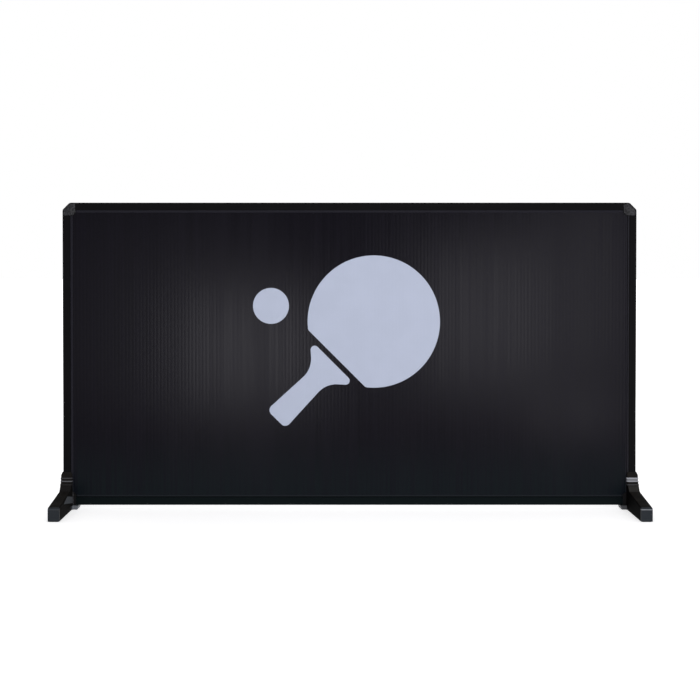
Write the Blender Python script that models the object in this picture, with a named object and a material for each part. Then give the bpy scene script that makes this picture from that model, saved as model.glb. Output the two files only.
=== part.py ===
"""Table tennis court barrier: a twin-wall panel in a hollow-section frame on two push-on feet.

Metres, +Z up. X runs along the barrier, its front faces -Y, and the origin lies on the floor
midway between the two feet. A piece is modelled about its own origin and then placed.
"""

import math

import bmesh
import bpy
from mathutils import Matrix

MM = 0.001

# Overall sizes
FRAME_WIDTH = 1400 * MM
BARRIER_HEIGHT = 750 * MM
FLOOR_GAP = 11 * MM
SEAT_GAP = 0.3 * MM
CUT_OVERRUN = 5 * MM

# Twin-wall panel
PANEL_THICKNESS = 5 * MM
PANEL_SKIN = 0.5 * MM
PANEL_END_GAP = 0.4 * MM
FLUTE_PITCH = 8.6 * MM
FLUTE_RIB = 0.5 * MM

# Frame section: a tube with a channel of two lips on its inner side
TUBE_FACE = 18 * MM
TUBE_DEPTH = 20 * MM
TUBE_WALL = 1.6 * MM
TUBE_EDGE_RADIUS = 2.5 * MM
TUBE_STEP_RADIUS = 0.8 * MM
LIP_REACH = 6 * MM
LIP_WALL = 1.5 * MM
SLOT_HALF = PANEL_THICKNESS / 2 + SEAT_GAP
LIP_HALF = SLOT_HALF + LIP_WALL

# Corner connector: an L-shaped block with an I-section spigot on each arm
CORNER_ARM = 31 * MM
CORNER_CHAMFER = 16 * MM
CORNER_ROUNDING = 5 * MM
CORNER_INNER_ROUNDING = 1.5 * MM
SPIGOT_LENGTH = 40 * MM
SPIGOT_FLANGE = 3 * MM
SPIGOT_WEB = 6.2 * MM

# Countersunk screw through the back of the frame into each spigot
SCREW_FROM_END = 18 * MM
SCREW_LENGTH = 12 * MM
SCREW_CORE_RADIUS = 1.3 * MM
SCREW_HEAD_RADIUS = 2.8 * MM
SCREW_HEAD_DEPTH = 1.4 * MM
SCREW_TIP = 2 * MM
SCREW_SINK = 0.1 * MM
SCREW_PLAY = 0.2 * MM
RECESS_REACH = 1.7 * MM
RECESS_SLOT = 0.8 * MM
RECESS_DEPTH = 0.9 * MM

# Foot: two legs and a socket tower that the frame's bottom corner drops into
FOOT_HALF_LENGTH = 180 * MM
SOCKET_WALL = 4.4 * MM
TOWER_HEIGHT = 92 * MM
TOWER_TOP_CHAMFER = 3.2 * MM
TOWER_CHAMFER_DROP = 7.5 * MM
TOWER_WAIST_HEIGHT = 68 * MM
TOWER_DRAFT = 4.8 * MM
LEG_ROOT_REACH = 38 * MM
LEG_ROOT_HEIGHT = 48.5 * MM
TOE_HEIGHT = 33 * MM
TOE_ROUNDING = 6.5 * MM
TOWER_BLEND_RADIUS = 12 * MM
FOOT_EDGE_RADIUS = 2 * MM
LEG_WALL = 3 * MM
LEG_RIB = 2.4 * MM
LEG_POCKETS = 5
RINGS = 3
LOWEST_RING_HEIGHT = 62.4 * MM
RING_PITCH = 7.2 * MM
RING_THICKNESS = 3.4 * MM
RING_PROUD = 0.9 * MM
RING_ROUNDING = 0.8 * MM

# Heel that carries the bottom rail, with the peg that locates the frame
HEEL_REACH = 12 * MM
HEEL_HALF_DEPTH = 20 * MM
HEEL_UNDERCUT = 4 * MM
HEEL_BLEND = 9 * MM
PEG_INSET = 22 * MM
PEG_RADIUS = 4 * MM
PEG_HEIGHT = 9 * MM
PEG_CHAMFER = 1 * MM

# Rubber pad let into the underside of each toe
PAD_LENGTH = 44 * MM
PAD_SEAT_DEPTH = 7 * MM
PAD_PROUD = 1.2 * MM
PAD_EDGE = 0.8 * MM

# Bat-and-ball emblem laid on the front of the panel
EMBLEM_X = -14 * MM
EMBLEM_Z = 386 * MM
EMBLEM_FILM = 0.3 * MM
EMBLEM_TILT = math.radians(225)
BLADE_RADIUS = 162 * MM
BLADE_OFFSET = 104 * MM
BLADE_CUT = 34 * MM
BLADE_ROUNDING = 10 * MM
HANDLE_SPLIT = 13 * MM
THROAT_LENGTH = 49 * MM
NECK_HALF = 25 * MM
NECK_ROUNDING = 60 * MM
HANDLE_LENGTH = 197 * MM
HANDLE_END_HALF = 32 * MM
HANDLE_END_ROUNDING = 14 * MM
BALL_RADIUS = 44 * MM
BALL_X = -178 * MM
BALL_Z = 112 * MM

ARC_STEPS = 4
SCREW_SIDES = 16
PEG_SIDES = 24
EMBLEM_SIDES = 72
SMOOTH_ANGLE = math.radians(35)

# Sizes that follow from those above
FRAME_HEIGHT = BARRIER_HEIGHT - FLOOR_GAP
RAIL_LENGTH = FRAME_WIDTH - 2 * (CORNER_ARM + SEAT_GAP)
UPRIGHT_LENGTH = FRAME_HEIGHT - 2 * (CORNER_ARM + SEAT_GAP)
SECTION_FACE = TUBE_FACE + LIP_REACH
SOCKET_HALF_FACE = TUBE_FACE / 2 + SEAT_GAP
SOCKET_HALF_DEPTH = TUBE_DEPTH / 2 + SEAT_GAP
FOOT_HALF_WIDTH = SOCKET_HALF_FACE + SOCKET_WALL
TOWER_HALF_DEPTH = SOCKET_HALF_DEPTH + SOCKET_WALL
SOCKET_FLOOR = FLOOR_GAP - SEAT_GAP
BLADE_CHORD = BLADE_RADIUS - BLADE_CUT
SHOULDER = BLADE_CHORD + HANDLE_SPLIT


def rounded(corners, steps=ARC_STEPS):
    """A closed outline from (a, b, radius) corners, each corner with a radius turned into an arc.

    An arc that its two sides are too short for is made smaller.
    """
    outline = []
    count = len(corners)
    for i, (a, b, radius) in enumerate(corners):
        before = corners[i - 1]
        after = corners[(i + 1) % count]
        to_before = (before[0] - a, before[1] - b)
        to_after = (after[0] - a, after[1] - b)
        reach_before = math.hypot(*to_before)
        reach_after = math.hypot(*to_after)
        if radius == 0:
            outline.append((a, b))
            continue
        p = (to_before[0] / reach_before, to_before[1] / reach_before)
        q = (to_after[0] / reach_after, to_after[1] / reach_after)
        half_angle = math.acos(max(-1, min(1, p[0] * q[0] + p[1] * q[1]))) / 2
        tangent = min(radius / math.tan(half_angle), 0.48 * reach_before, 0.48 * reach_after)
        true_radius = tangent * math.tan(half_angle)
        middle = (p[0] + q[0], p[1] + q[1])
        to_centre = true_radius / math.sin(half_angle) / math.hypot(*middle)
        centre = (a + middle[0] * to_centre, b + middle[1] * to_centre)
        first = math.atan2(b + p[1] * tangent - centre[1], a + p[0] * tangent - centre[0])
        last = math.atan2(b + q[1] * tangent - centre[1], a + q[0] * tangent - centre[0])
        sweep = (last - first + math.pi) % math.tau - math.pi
        for k in range(steps + 1):
            angle = first + sweep * k / steps
            outline.append(
                (
                    centre[0] + true_radius * math.cos(angle),
                    centre[1] + true_radius * math.sin(angle),
                )
            )
    return outline


def rectangle(low_a, high_a, low_b, high_b):
    return [(low_a, low_b), (high_a, low_b), (high_a, high_b), (low_a, high_b)]


PLACES = {
    "X": lambda a, b, t: (t, a, b),
    "Y": lambda a, b, t: (a, t, b),
    "Z": lambda a, b, t: (a, b, t),
}


def add_prism(shape, outline, low, high, axis, holes=()):
    """Adds an outline carried along an axis from low to high, with its holes, to a bmesh."""
    place = PLACES[axis]
    rims = {low: [], high: []}
    faces = []
    for loop in (outline, *holes):
        ends = {t: [shape.verts.new(place(a, b, t)) for a, b in loop] for t in (low, high)}
        for i in range(len(loop)):
            j = (i + 1) % len(loop)
            faces.append(
                shape.faces.new((ends[low][i], ends[low][j], ends[high][j], ends[high][i]))
            )
            for t in (low, high):
                rims[t].append(shape.edges.get((ends[t][i], ends[t][j])))
        if not holes:
            faces += [shape.faces.new(ends[low]), shape.faces.new(ends[high])]
    if holes:
        for t in (low, high):
            made = bmesh.ops.triangle_fill(shape, edges=rims[t], use_beauty=True)
            faces += [f for f in made["geom"] if isinstance(f, bmesh.types.BMFace)]
    bmesh.ops.recalc_face_normals(shape, faces=faces)
    return faces


def add_turned(shape, profile, sides, matrix):
    """Adds a (radius, height) profile turned about Z, closed at both ends, moved by the matrix."""
    rings = [
        [
            shape.verts.new(
                matrix
                @ Matrix.Rotation(math.tau * k / sides, 4, "Z")
                @ Matrix.Translation((radius, 0, height)).to_translation()
            )
            for k in range(sides)
        ]
        for radius, height in profile
    ]
    faces = [shape.faces.new(rings[0]), shape.faces.new(rings[-1])]
    for lower, upper in zip(rings, rings[1:]):
        for k in range(sides):
            m = (k + 1) % sides
            faces.append(shape.faces.new((lower[k], lower[m], upper[m], upper[k])))
    bmesh.ops.recalc_face_normals(shape, faces=faces)
    return faces


def mesh_of(shape, name):
    mesh = bpy.data.meshes.new(name)
    shape.to_mesh(mesh)
    shape.free()
    return mesh


def prism_mesh(name, outline, low, high, axis, holes=()):
    shape = bmesh.new()
    add_prism(shape, outline, low, high, axis, holes)
    return mesh_of(shape, name)


def combined(name, base, *steps):
    """The base mesh after each (operation, mesh) step, as exact Booleans done in turn."""
    scene = bpy.context.scene.collection
    work = bpy.data.objects.new(name, base)
    scene.objects.link(work)
    tools = []
    for operation, mesh in steps:
        tool = bpy.data.objects.new(name + "_tool", mesh)
        scene.objects.link(tool)
        tools.append(tool)
        modifier = work.modifiers.new(operation.title(), "BOOLEAN")
        modifier.operation = operation
        modifier.solver = "EXACT"
        modifier.object = tool
    graph = bpy.context.evaluated_depsgraph_get()
    result = bpy.data.meshes.new_from_object(work.evaluated_get(graph))
    for helper in (work, *tools):
        bpy.data.objects.remove(helper)
    return result


def material(name, colour, roughness, metallic=0.0):
    made = bpy.data.materials.new(name)
    made.use_nodes = True
    surface = made.node_tree.nodes["Principled BSDF"]
    surface.inputs["Base Color"].default_value = (*colour, 1.0)
    surface.inputs["Roughness"].default_value = roughness
    surface.inputs["Metallic"].default_value = metallic
    return made


def place(name, mesh, finish, parent, location=(0, 0, 0), turn_y=0.0, turn_z=0.0):
    """Puts a piece in the scene under its parent empty, shaded smooth across shallow edges."""
    piece = bpy.data.objects.new(name, mesh)
    bpy.context.scene.collection.objects.link(piece)
    mesh.materials.clear()
    mesh.materials.append(finish)
    mesh.shade_smooth()
    mesh.set_sharp_from_angle(angle=SMOOTH_ANGLE)
    piece.parent = parent
    piece.location = location
    piece.rotation_euler = (0, turn_y, turn_z)
    return piece


def empty(name, location=(0, 0, 0), turn_z=0.0):
    made = bpy.data.objects.new(name, None)
    bpy.context.scene.collection.objects.link(made)
    made.location = location
    made.rotation_euler = (0, 0, turn_z)
    return made


def screw_outline(play):
    """The screw's turned profile, from its tip up to its flat head, let out by a play."""
    core = SCREW_CORE_RADIUS + play
    head = SCREW_HEAD_RADIUS + play
    tip_radius = core / 3
    return [
        (tip_radius, -SCREW_LENGTH - play),
        (core, -SCREW_LENGTH + SCREW_TIP - play),
        (core, -SCREW_HEAD_DEPTH),
        (head, 0),
    ]


def screw_mesh():
    shape = bmesh.new()
    add_turned(shape, screw_outline(0), SCREW_SIDES, Matrix())
    half_slot = RECESS_SLOT / 2
    cross = [
        (RECESS_REACH, -half_slot), (RECESS_REACH, half_slot),
        (half_slot, half_slot), (half_slot, RECESS_REACH),
        (-half_slot, RECESS_REACH), (-half_slot, half_slot),
        (-RECESS_REACH, half_slot), (-RECESS_REACH, -half_slot),
        (-half_slot, -half_slot), (-half_slot, -RECESS_REACH),
        (half_slot, -RECESS_REACH), (half_slot, -half_slot),
    ]  # fmt: skip
    recess = prism_mesh("recess", cross, -RECESS_DEPTH, CUT_OVERRUN, "Z")
    made = combined("screw", mesh_of(shape, "screw"), ("DIFFERENCE", recess))
    made.transform(Matrix.Rotation(-math.pi / 2, 4, "X"))
    return made


def screw_hole(shape, x, z):
    """Adds the cutter for one screw, whose head lies just under the back face of the frame."""
    profile = screw_outline(SCREW_PLAY)
    profile.append((SCREW_HEAD_RADIUS + SCREW_PLAY, CUT_OVERRUN))
    seat = Matrix.Translation((x, TUBE_DEPTH / 2 - SCREW_SINK, z))
    add_turned(shape, profile, SCREW_SIDES, seat @ Matrix.Rotation(-math.pi / 2, 4, "X"))


def section_outline():
    """The frame section across its length, as (depth, -distance from the outer side)."""
    half = TUBE_DEPTH / 2
    lip_rounding = LIP_WALL / 2
    right_side = [
        (half, 0, TUBE_EDGE_RADIUS),
        (half, -TUBE_FACE, TUBE_STEP_RADIUS),
        (LIP_HALF, -TUBE_FACE, 0),
        (LIP_HALF, -SECTION_FACE, lip_rounding),
        (SLOT_HALF, -SECTION_FACE, lip_rounding),
        (SLOT_HALF, -TUBE_FACE, 0),
    ]
    left_side = [(-a, b, radius) for a, b, radius in reversed(right_side)]
    return rounded(right_side + left_side)


def cavity_outline():
    half = TUBE_DEPTH / 2 - TUBE_WALL
    return rectangle(-half, half, -TUBE_FACE + TUBE_WALL, -TUBE_WALL)


def section_mesh(name, length):
    """One length of frame section along X, hung from its outer side, drilled for its screws."""
    bar = prism_mesh(name, section_outline(), -length / 2, length / 2, "X", [cavity_outline()])
    drill = bmesh.new()
    for end in (-1, 1):
        screw_hole(drill, end * (length / 2 - SCREW_FROM_END), -TUBE_FACE / 2)
    return combined(name, bar, ("DIFFERENCE", mesh_of(drill, "drill")))


def panel_mesh():
    """The twin-wall sheet: two skins joined by upright ribs, its flutes open at top and bottom."""
    half_width = FRAME_WIDTH / 2 - TUBE_FACE - PANEL_END_GAP
    half_height = FRAME_HEIGHT / 2 - TUBE_FACE - PANEL_END_GAP
    half = PANEL_THICKNESS / 2
    flute = FLUTE_PITCH - FLUTE_RIB
    count = int((2 * half_width - FLUTE_RIB) / FLUTE_PITCH)
    first = -count * FLUTE_PITCH / 2 + FLUTE_RIB / 2
    inner = half - PANEL_SKIN
    flutes = [
        rectangle(first + i * FLUTE_PITCH, first + i * FLUTE_PITCH + flute, -inner, inner)
        for i in range(count)
    ]
    sheet = rectangle(-half_width, half_width, -half, half)
    return prism_mesh("panel_sheet", sheet, -half_height, half_height, "Z", flutes)


def corner_block():
    """The connector's L-shaped block, its outer corner at the origin, arms along +X and -Z."""
    cut = CORNER_CHAMFER
    outline = rounded(
        [
            (0, -cut, CORNER_ROUNDING),
            (cut, 0, CORNER_ROUNDING),
            (CORNER_ARM, 0, 0),
            (CORNER_ARM, -SECTION_FACE, CORNER_INNER_ROUNDING),
            (SECTION_FACE, -CORNER_ARM, CORNER_INNER_ROUNDING),
            (0, -CORNER_ARM, 0),
        ]
    )
    shape = bmesh.new()
    half = TUBE_DEPTH / 2
    add_prism(shape, outline, -half, half, "Y")
    arm_end = CORNER_ARM - SEAT_GAP / 2
    outer = [
        edge
        for edge in shape.edges
        if abs(edge.verts[0].co.y - edge.verts[1].co.y) < SEAT_GAP
        and all(v.co.x - v.co.z < CORNER_ARM + SEAT_GAP for v in edge.verts)
        and any(v.co.x < arm_end and v.co.z > -arm_end for v in edge.verts)
    ]
    bmesh.ops.bevel(
        shape,
        geom=outer,
        offset=TUBE_EDGE_RADIUS,
        segments=ARC_STEPS,
        profile=0.5,
        affect="EDGES",
    )
    return mesh_of(shape, "corner_block")


def spigot_outline():
    """The I-section that fits the tube's cavity, as (across, depth)."""
    low = TUBE_WALL + SEAT_GAP
    high = TUBE_FACE - TUBE_WALL - SEAT_GAP
    half = TUBE_DEPTH / 2 - TUBE_WALL - SEAT_GAP
    inner = half - SPIGOT_FLANGE
    web_low = (low + high - SPIGOT_WEB) / 2
    web_high = (low + high + SPIGOT_WEB) / 2
    return [
        (low, -half), (high, -half), (high, -inner), (web_high, -inner),
        (web_high, inner), (high, inner), (high, half), (low, half),
        (low, inner), (web_low, inner), (web_low, -inner), (low, -inner),
    ]  # fmt: skip


def corner_mesh(name, peg_arm=None):
    """One corner connector. peg_arm is the arm, X or Z, that has the hole for the foot's peg."""
    start = CORNER_ARM - SPIGOT_WEB
    end = CORNER_ARM + SPIGOT_LENGTH
    along_x = [(y, -across) for across, y in spigot_outline()]
    spigot_x = prism_mesh("spigot", along_x, start, end, "X")
    spigot_z = prism_mesh("spigot", spigot_outline(), -end, -start, "Z")
    far = CORNER_ARM + CUT_OVERRUN
    slot = bmesh.new()
    add_prism(slot, rectangle(TUBE_FACE, far, -far, -TUBE_FACE), -SLOT_HALF, SLOT_HALF, "Y")
    drill = bmesh.new()
    screw_place = CORNER_ARM + SEAT_GAP + SCREW_FROM_END
    screw_hole(drill, screw_place, -TUBE_FACE / 2)
    screw_hole(drill, TUBE_FACE / 2, -screw_place)
    if peg_arm:
        bore = PEG_RADIUS + SEAT_GAP
        depth = PEG_HEIGHT + SEAT_GAP
        if peg_arm == "X":
            seat = Matrix.Translation((PEG_INSET, 0, 0))
        else:
            seat = Matrix.Translation((0, 0, -PEG_INSET)) @ Matrix.Rotation(-math.pi / 2, 4, "Y")
        add_turned(drill, [(bore, -depth), (bore, CUT_OVERRUN)], PEG_SIDES, seat)
    return combined(
        name,
        corner_block(),
        ("UNION", spigot_x),
        ("UNION", spigot_z),
        ("DIFFERENCE", mesh_of(slot, "slot")),
        ("DIFFERENCE", mesh_of(drill, "drill")),
    )


def tower_half_depth(height):
    """How far the tower's front and back stand from the frame's middle plane at a height.

    Down to the waist they spread by the draft, and below it they run out to the legs' roots.
    """
    waist = TOWER_HALF_DEPTH + TOWER_DRAFT
    if height < TOWER_WAIST_HEIGHT:
        share = (TOWER_WAIST_HEIGHT - height) / (TOWER_WAIST_HEIGHT - LEG_ROOT_HEIGHT)
        return waist + (LEG_ROOT_REACH - waist) * share
    top = TOWER_HEIGHT - TOWER_CHAMFER_DROP
    return waist - TOWER_DRAFT * (height - TOWER_WAIST_HEIGHT) / (top - TOWER_WAIST_HEIGHT)


def leg_top(reach):
    """Height of the top of the leg, a straight slope from its root down to the toe."""
    share = (reach - LEG_ROOT_REACH) / (FOOT_HALF_LENGTH - LEG_ROOT_REACH)
    return LEG_ROOT_HEIGHT + (TOE_HEIGHT - LEG_ROOT_HEIGHT) * share


def foot_outline():
    """The foot seen from the side, as (depth, height)."""
    front = [
        (FOOT_HALF_LENGTH, PAD_PROUD, 0),
        (FOOT_HALF_LENGTH, TOE_HEIGHT, TOE_ROUNDING),
        (LEG_ROOT_REACH, LEG_ROOT_HEIGHT, TOWER_BLEND_RADIUS),
        (tower_half_depth(TOWER_WAIST_HEIGHT), TOWER_WAIST_HEIGHT, TOWER_BLEND_RADIUS),
        (TOWER_HALF_DEPTH, TOWER_HEIGHT - TOWER_CHAMFER_DROP, 0),
        (TOWER_HALF_DEPTH - TOWER_TOP_CHAMFER, TOWER_HEIGHT, 0),
    ]
    back = [(-a, b, radius) for a, b, radius in reversed(front)]
    return rounded(front + back)


def foot_block():
    """The foot's outer form before it is hollowed, its long edges rounded."""
    shape = bmesh.new()
    add_prism(shape, foot_outline(), -FOOT_HALF_WIDTH, FOOT_HALF_WIDTH, "X")
    base = PAD_PROUD + SEAT_GAP
    rim = [
        edge
        for edge in shape.edges
        if abs(edge.verts[0].co.x - edge.verts[1].co.x) < SEAT_GAP
        and max(v.co.z for v in edge.verts) > base
    ]
    bmesh.ops.bevel(
        shape,
        geom=rim,
        offset=FOOT_EDGE_RADIUS,
        segments=3,
        profile=0.5,
        affect="EDGES",
        clamp_overlap=True,
    )
    return mesh_of(shape, "foot_block")


def foot_ring(height):
    """One raised ring round the socket tower, with rounded edges."""
    half_x = FOOT_HALF_WIDTH + RING_PROUD
    half_y = tower_half_depth(height) + RING_PROUD
    corner = FOOT_EDGE_RADIUS + RING_PROUD
    outline = rounded(
        [
            (half_x, half_y, corner),
            (-half_x, half_y, corner),
            (-half_x, -half_y, corner),
            (half_x, -half_y, corner),
        ]
    )
    shape = bmesh.new()
    half = RING_THICKNESS / 2
    add_prism(shape, outline, height - half, height + half, "Z")
    rim = [e for e in shape.edges if abs(e.verts[0].co.z - e.verts[1].co.z) < RING_ROUNDING]
    bmesh.ops.bevel(
        shape, geom=rim, offset=RING_ROUNDING, segments=2, profile=0.5, affect="EDGES"
    )
    return mesh_of(shape, "ring")


def heel_mesh():
    """The tongue under the bottom rail, blended into both legs, its end sloped to the floor."""
    end = FOOT_HALF_WIDTH + HEEL_REACH
    side = FOOT_HALF_WIDTH - SEAT_GAP
    inside = FOOT_HALF_WIDTH - LEG_WALL / 2
    reach = HEEL_HALF_DEPTH + 3 * HEEL_BLEND
    front = [
        (end, HEEL_HALF_DEPTH, FOOT_EDGE_RADIUS),
        (side, HEEL_HALF_DEPTH, HEEL_BLEND),
        (side, reach, 0),
        (inside, reach, 0),
    ]
    back = [(a, -b, radius) for a, b, radius in reversed(front)]
    shape = bmesh.new()
    add_prism(shape, rounded(front + back), PAD_PROUD, SOCKET_FLOOR, "Z")
    for v in shape.verts:
        if v.co.z < SOCKET_FLOOR - SEAT_GAP and v.co.x > FOOT_HALF_WIDTH:
            v.co.x -= HEEL_UNDERCUT * (v.co.x - FOOT_HALF_WIDTH) / HEEL_REACH
    return mesh_of(shape, "heel")


def peg_mesh():
    """The locating peg on the heel, rooted in it."""
    top = SOCKET_FLOOR + PEG_HEIGHT
    profile = [
        (PEG_RADIUS, PAD_PROUD + SEAT_GAP),
        (PEG_RADIUS, top - PEG_CHAMFER),
        (PEG_RADIUS - PEG_CHAMFER, top),
    ]
    shape = bmesh.new()
    seat = Matrix.Translation((PEG_INSET - TUBE_FACE / 2, 0, 0))
    add_turned(shape, profile, PEG_SIDES, seat)
    return mesh_of(shape, "peg")


def foot_hollows():
    """Cutters for the pockets between the ribs under each leg, and for the pads' seats."""
    shape = bmesh.new()
    half_x = FOOT_HALF_WIDTH - LEG_WALL
    first = HEEL_HALF_DEPTH + LEG_WALL
    last = FOOT_HALF_LENGTH - LEG_WALL
    step = (last - first + LEG_RIB) / LEG_POCKETS
    below = PAD_PROUD - CUT_OVERRUN
    for side in (-1, 1):
        for i in range(LEG_POCKETS):
            near = first + i * step
            far = near + step - LEG_RIB
            ceiling_near = min(leg_top(near), leg_top(LEG_ROOT_REACH)) - LEG_WALL
            ceiling_far = leg_top(far) - LEG_WALL
            if i == LEG_POCKETS - 1:
                ceiling_far -= TOE_ROUNDING / 2
            pocket = [
                (side * near, below),
                (side * far, below),
                (side * far, ceiling_far),
                (side * near, ceiling_near),
            ]
            add_prism(shape, pocket, -half_x, half_x, "X")
    return mesh_of(shape, "hollows")


def pad_seats():
    shape = bmesh.new()
    half_x = FOOT_HALF_WIDTH - LEG_WALL
    last = FOOT_HALF_LENGTH - LEG_WALL
    for side in (-1, 1):
        near, far = sorted((side * (last - PAD_LENGTH), side * last))
        seat = rectangle(near, far, PAD_PROUD - CUT_OVERRUN, PAD_PROUD + PAD_SEAT_DEPTH)
        add_prism(shape, seat, -half_x, half_x, "X")
    return mesh_of(shape, "pad_seats")


def tower_bevels():
    """Cutters that slope the outer and inner sides of the tower's top like its front and back."""
    low = TOWER_HEIGHT - TOWER_CHAMFER_DROP
    inset = FOOT_HALF_WIDTH - TOWER_TOP_CHAMFER
    rise = TOWER_CHAMFER_DROP / TOWER_TOP_CHAMFER
    reach = TUBE_DEPTH
    shape = bmesh.new()
    for side in (-1, 1):
        wedge = [
            (side * (FOOT_HALF_WIDTH + CUT_OVERRUN), low - CUT_OVERRUN * rise),
            (side * (FOOT_HALF_WIDTH + CUT_OVERRUN), TOWER_HEIGHT + CUT_OVERRUN * rise),
            (side * (inset - CUT_OVERRUN), TOWER_HEIGHT + CUT_OVERRUN * rise),
        ]
        add_prism(shape, wedge, -reach, reach, "Y")
    return mesh_of(shape, "tower_bevels")


def foot_mesh():
    """The whole foot, inner side towards +X, its origin on the floor under the socket's axis."""
    socket = prism_mesh(
        "socket",
        rectangle(
            -SOCKET_HALF_FACE,
            FOOT_HALF_WIDTH + HEEL_REACH + CUT_OVERRUN,
            -SOCKET_HALF_DEPTH,
            SOCKET_HALF_DEPTH,
        ),
        SOCKET_FLOOR,
        TOWER_HEIGHT + CUT_OVERRUN,
        "Z",
    )
    return combined(
        "foot",
        foot_block(),
        ("DIFFERENCE", tower_bevels()),
        *(("UNION", foot_ring(LOWEST_RING_HEIGHT + i * RING_PITCH)) for i in range(RINGS)),
        ("UNION", heel_mesh()),
        ("DIFFERENCE", socket),
        ("UNION", peg_mesh()),
        ("DIFFERENCE", foot_hollows()),
        ("DIFFERENCE", pad_seats()),
    )


def pad_mesh():
    """A rubber pad standing on the floor, its top under the ribs of its seat."""
    half_x = FOOT_HALF_WIDTH - LEG_WALL - SEAT_GAP
    half_y = PAD_LENGTH / 2 - SEAT_GAP
    shape = bmesh.new()
    top = PAD_PROUD + PAD_SEAT_DEPTH - SEAT_GAP
    add_prism(shape, rectangle(-half_x, half_x, -half_y, half_y), 0, top, "Z")
    upright = [e for e in shape.edges if abs(e.verts[0].co.z - e.verts[1].co.z) > PAD_EDGE]
    bmesh.ops.bevel(shape, geom=upright, offset=PAD_EDGE, segments=2, profile=0.5, affect="EDGES")
    return mesh_of(shape, "pad")


def film_mesh(name, outline):
    """A flat film on the front of the panel, from an outline about the emblem's middle."""
    back = -PANEL_THICKNESS / 2 - SEAT_GAP
    return prism_mesh(name, outline, back - EMBLEM_FILM, back, "Y")


def along_handle(outline):
    """Turns (distance from the blade's middle, across) points to the emblem's tilt."""
    c, s = math.cos(EMBLEM_TILT), math.sin(EMBLEM_TILT)
    middle = (-c * BLADE_OFFSET, -s * BLADE_OFFSET)
    return [(middle[0] + c * a - s * b, middle[1] + s * a + c * b) for a, b in outline]


def blade_outline():
    """The bat's face: a circle cut off square towards the handle, its two corners rounded."""
    half_angle = math.acos(BLADE_CHORD / BLADE_RADIUS)
    arc = [
        half_angle + (math.tau - 2 * half_angle) * k / EMBLEM_SIDES
        for k in range(EMBLEM_SIDES + 1)
    ]
    points = [(BLADE_RADIUS * math.cos(a), BLADE_RADIUS * math.sin(a), 0) for a in arc]
    trim = int(BLADE_ROUNDING / (BLADE_RADIUS * (arc[1] - arc[0]))) + 1
    corner = BLADE_RADIUS * math.sin(half_angle)
    kept = points[trim:-trim]
    return rounded(
        [(BLADE_CHORD, corner, BLADE_ROUNDING), *kept, (BLADE_CHORD, -corner, BLADE_ROUNDING)]
    )


def handle_outline():
    """The bat's throat and handle, narrowing from the blade's rim and flaring at the end."""
    half_shoulder = math.sqrt(BLADE_RADIUS**2 - SHOULDER**2)
    side = [
        (SHOULDER, half_shoulder, BLADE_ROUNDING),
        (SHOULDER + THROAT_LENGTH, NECK_HALF, NECK_ROUNDING),
        (SHOULDER + HANDLE_LENGTH, HANDLE_END_HALF, HANDLE_END_ROUNDING),
    ]
    other = [(a, -b, radius) for a, b, radius in reversed(side)]
    return rounded(side + other)


def ball_outline():
    turns = [math.tau * k / EMBLEM_SIDES for k in range(EMBLEM_SIDES)]
    return [
        (BALL_X + BALL_RADIUS * math.cos(a), BALL_Z + BALL_RADIUS * math.sin(a)) for a in turns
    ]


def clear_scene():
    for obj in list(bpy.data.objects):
        bpy.data.objects.remove(obj)


def build_frame(parent, finishes):
    half_width = FRAME_WIDTH / 2
    middle = FLOOR_GAP + FRAME_HEIGHT / 2
    quarter = math.pi / 2
    bars = {
        "top_rail": (RAIL_LENGTH, (0, 0, BARRIER_HEIGHT), 0),
        "bottom_rail": (RAIL_LENGTH, (0, 0, FLOOR_GAP), 2 * quarter),
        "left_upright": (UPRIGHT_LENGTH, (-half_width, 0, middle), -quarter),
        "right_upright": (UPRIGHT_LENGTH, (half_width, 0, middle), quarter),
    }
    for name, (length, location, turn) in bars.items():
        place(name, section_mesh(name, length), finishes["frame"], parent, location, turn)
    corners = {
        "top_left_corner": (None, (-half_width, 0, BARRIER_HEIGHT), 0),
        "top_right_corner": (None, (half_width, 0, BARRIER_HEIGHT), quarter),
        "bottom_right_corner": ("X", (half_width, 0, FLOOR_GAP), 2 * quarter),
        "bottom_left_corner": ("Z", (-half_width, 0, FLOOR_GAP), -quarter),
    }
    for name, (peg_arm, location, turn) in corners.items():
        place(name, corner_mesh(name, peg_arm), finishes["corner"], parent, location, turn)


def build_screws(parent, finish):
    from_side = CORNER_ARM + SEAT_GAP + SCREW_FROM_END
    centre_line = TUBE_FACE / 2
    y = TUBE_DEPTH / 2 - SCREW_SINK
    for word, side in (("left", -1), ("right", 1)):
        rail_x = side * (FRAME_WIDTH / 2 - from_side)
        upright_x = side * (FRAME_WIDTH / 2 - centre_line)
        spots = {
            f"top_rail_{word}_screw": (rail_x, y, BARRIER_HEIGHT - centre_line),
            f"bottom_rail_{word}_screw": (rail_x, y, FLOOR_GAP + centre_line),
            f"{word}_upright_top_screw": (upright_x, y, BARRIER_HEIGHT - from_side),
            f"{word}_upright_bottom_screw": (upright_x, y, FLOOR_GAP + from_side),
        }
        for name, spot in spots.items():
            place(name, screw_mesh(), finish, parent, spot)


def build_panel(parent, finishes):
    middle = (0, 0, FLOOR_GAP + FRAME_HEIGHT / 2)
    place("panel_sheet", panel_mesh(), finishes["panel"], parent, middle)
    films = {
        "emblem_blade": along_handle(blade_outline()),
        "emblem_handle": along_handle(handle_outline()),
        "emblem_ball": ball_outline(),
    }
    for name, outline in films.items():
        spot = (EMBLEM_X, 0, EMBLEM_Z)
        place(name, film_mesh(name, outline), finishes["emblem"], parent, spot)


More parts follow.
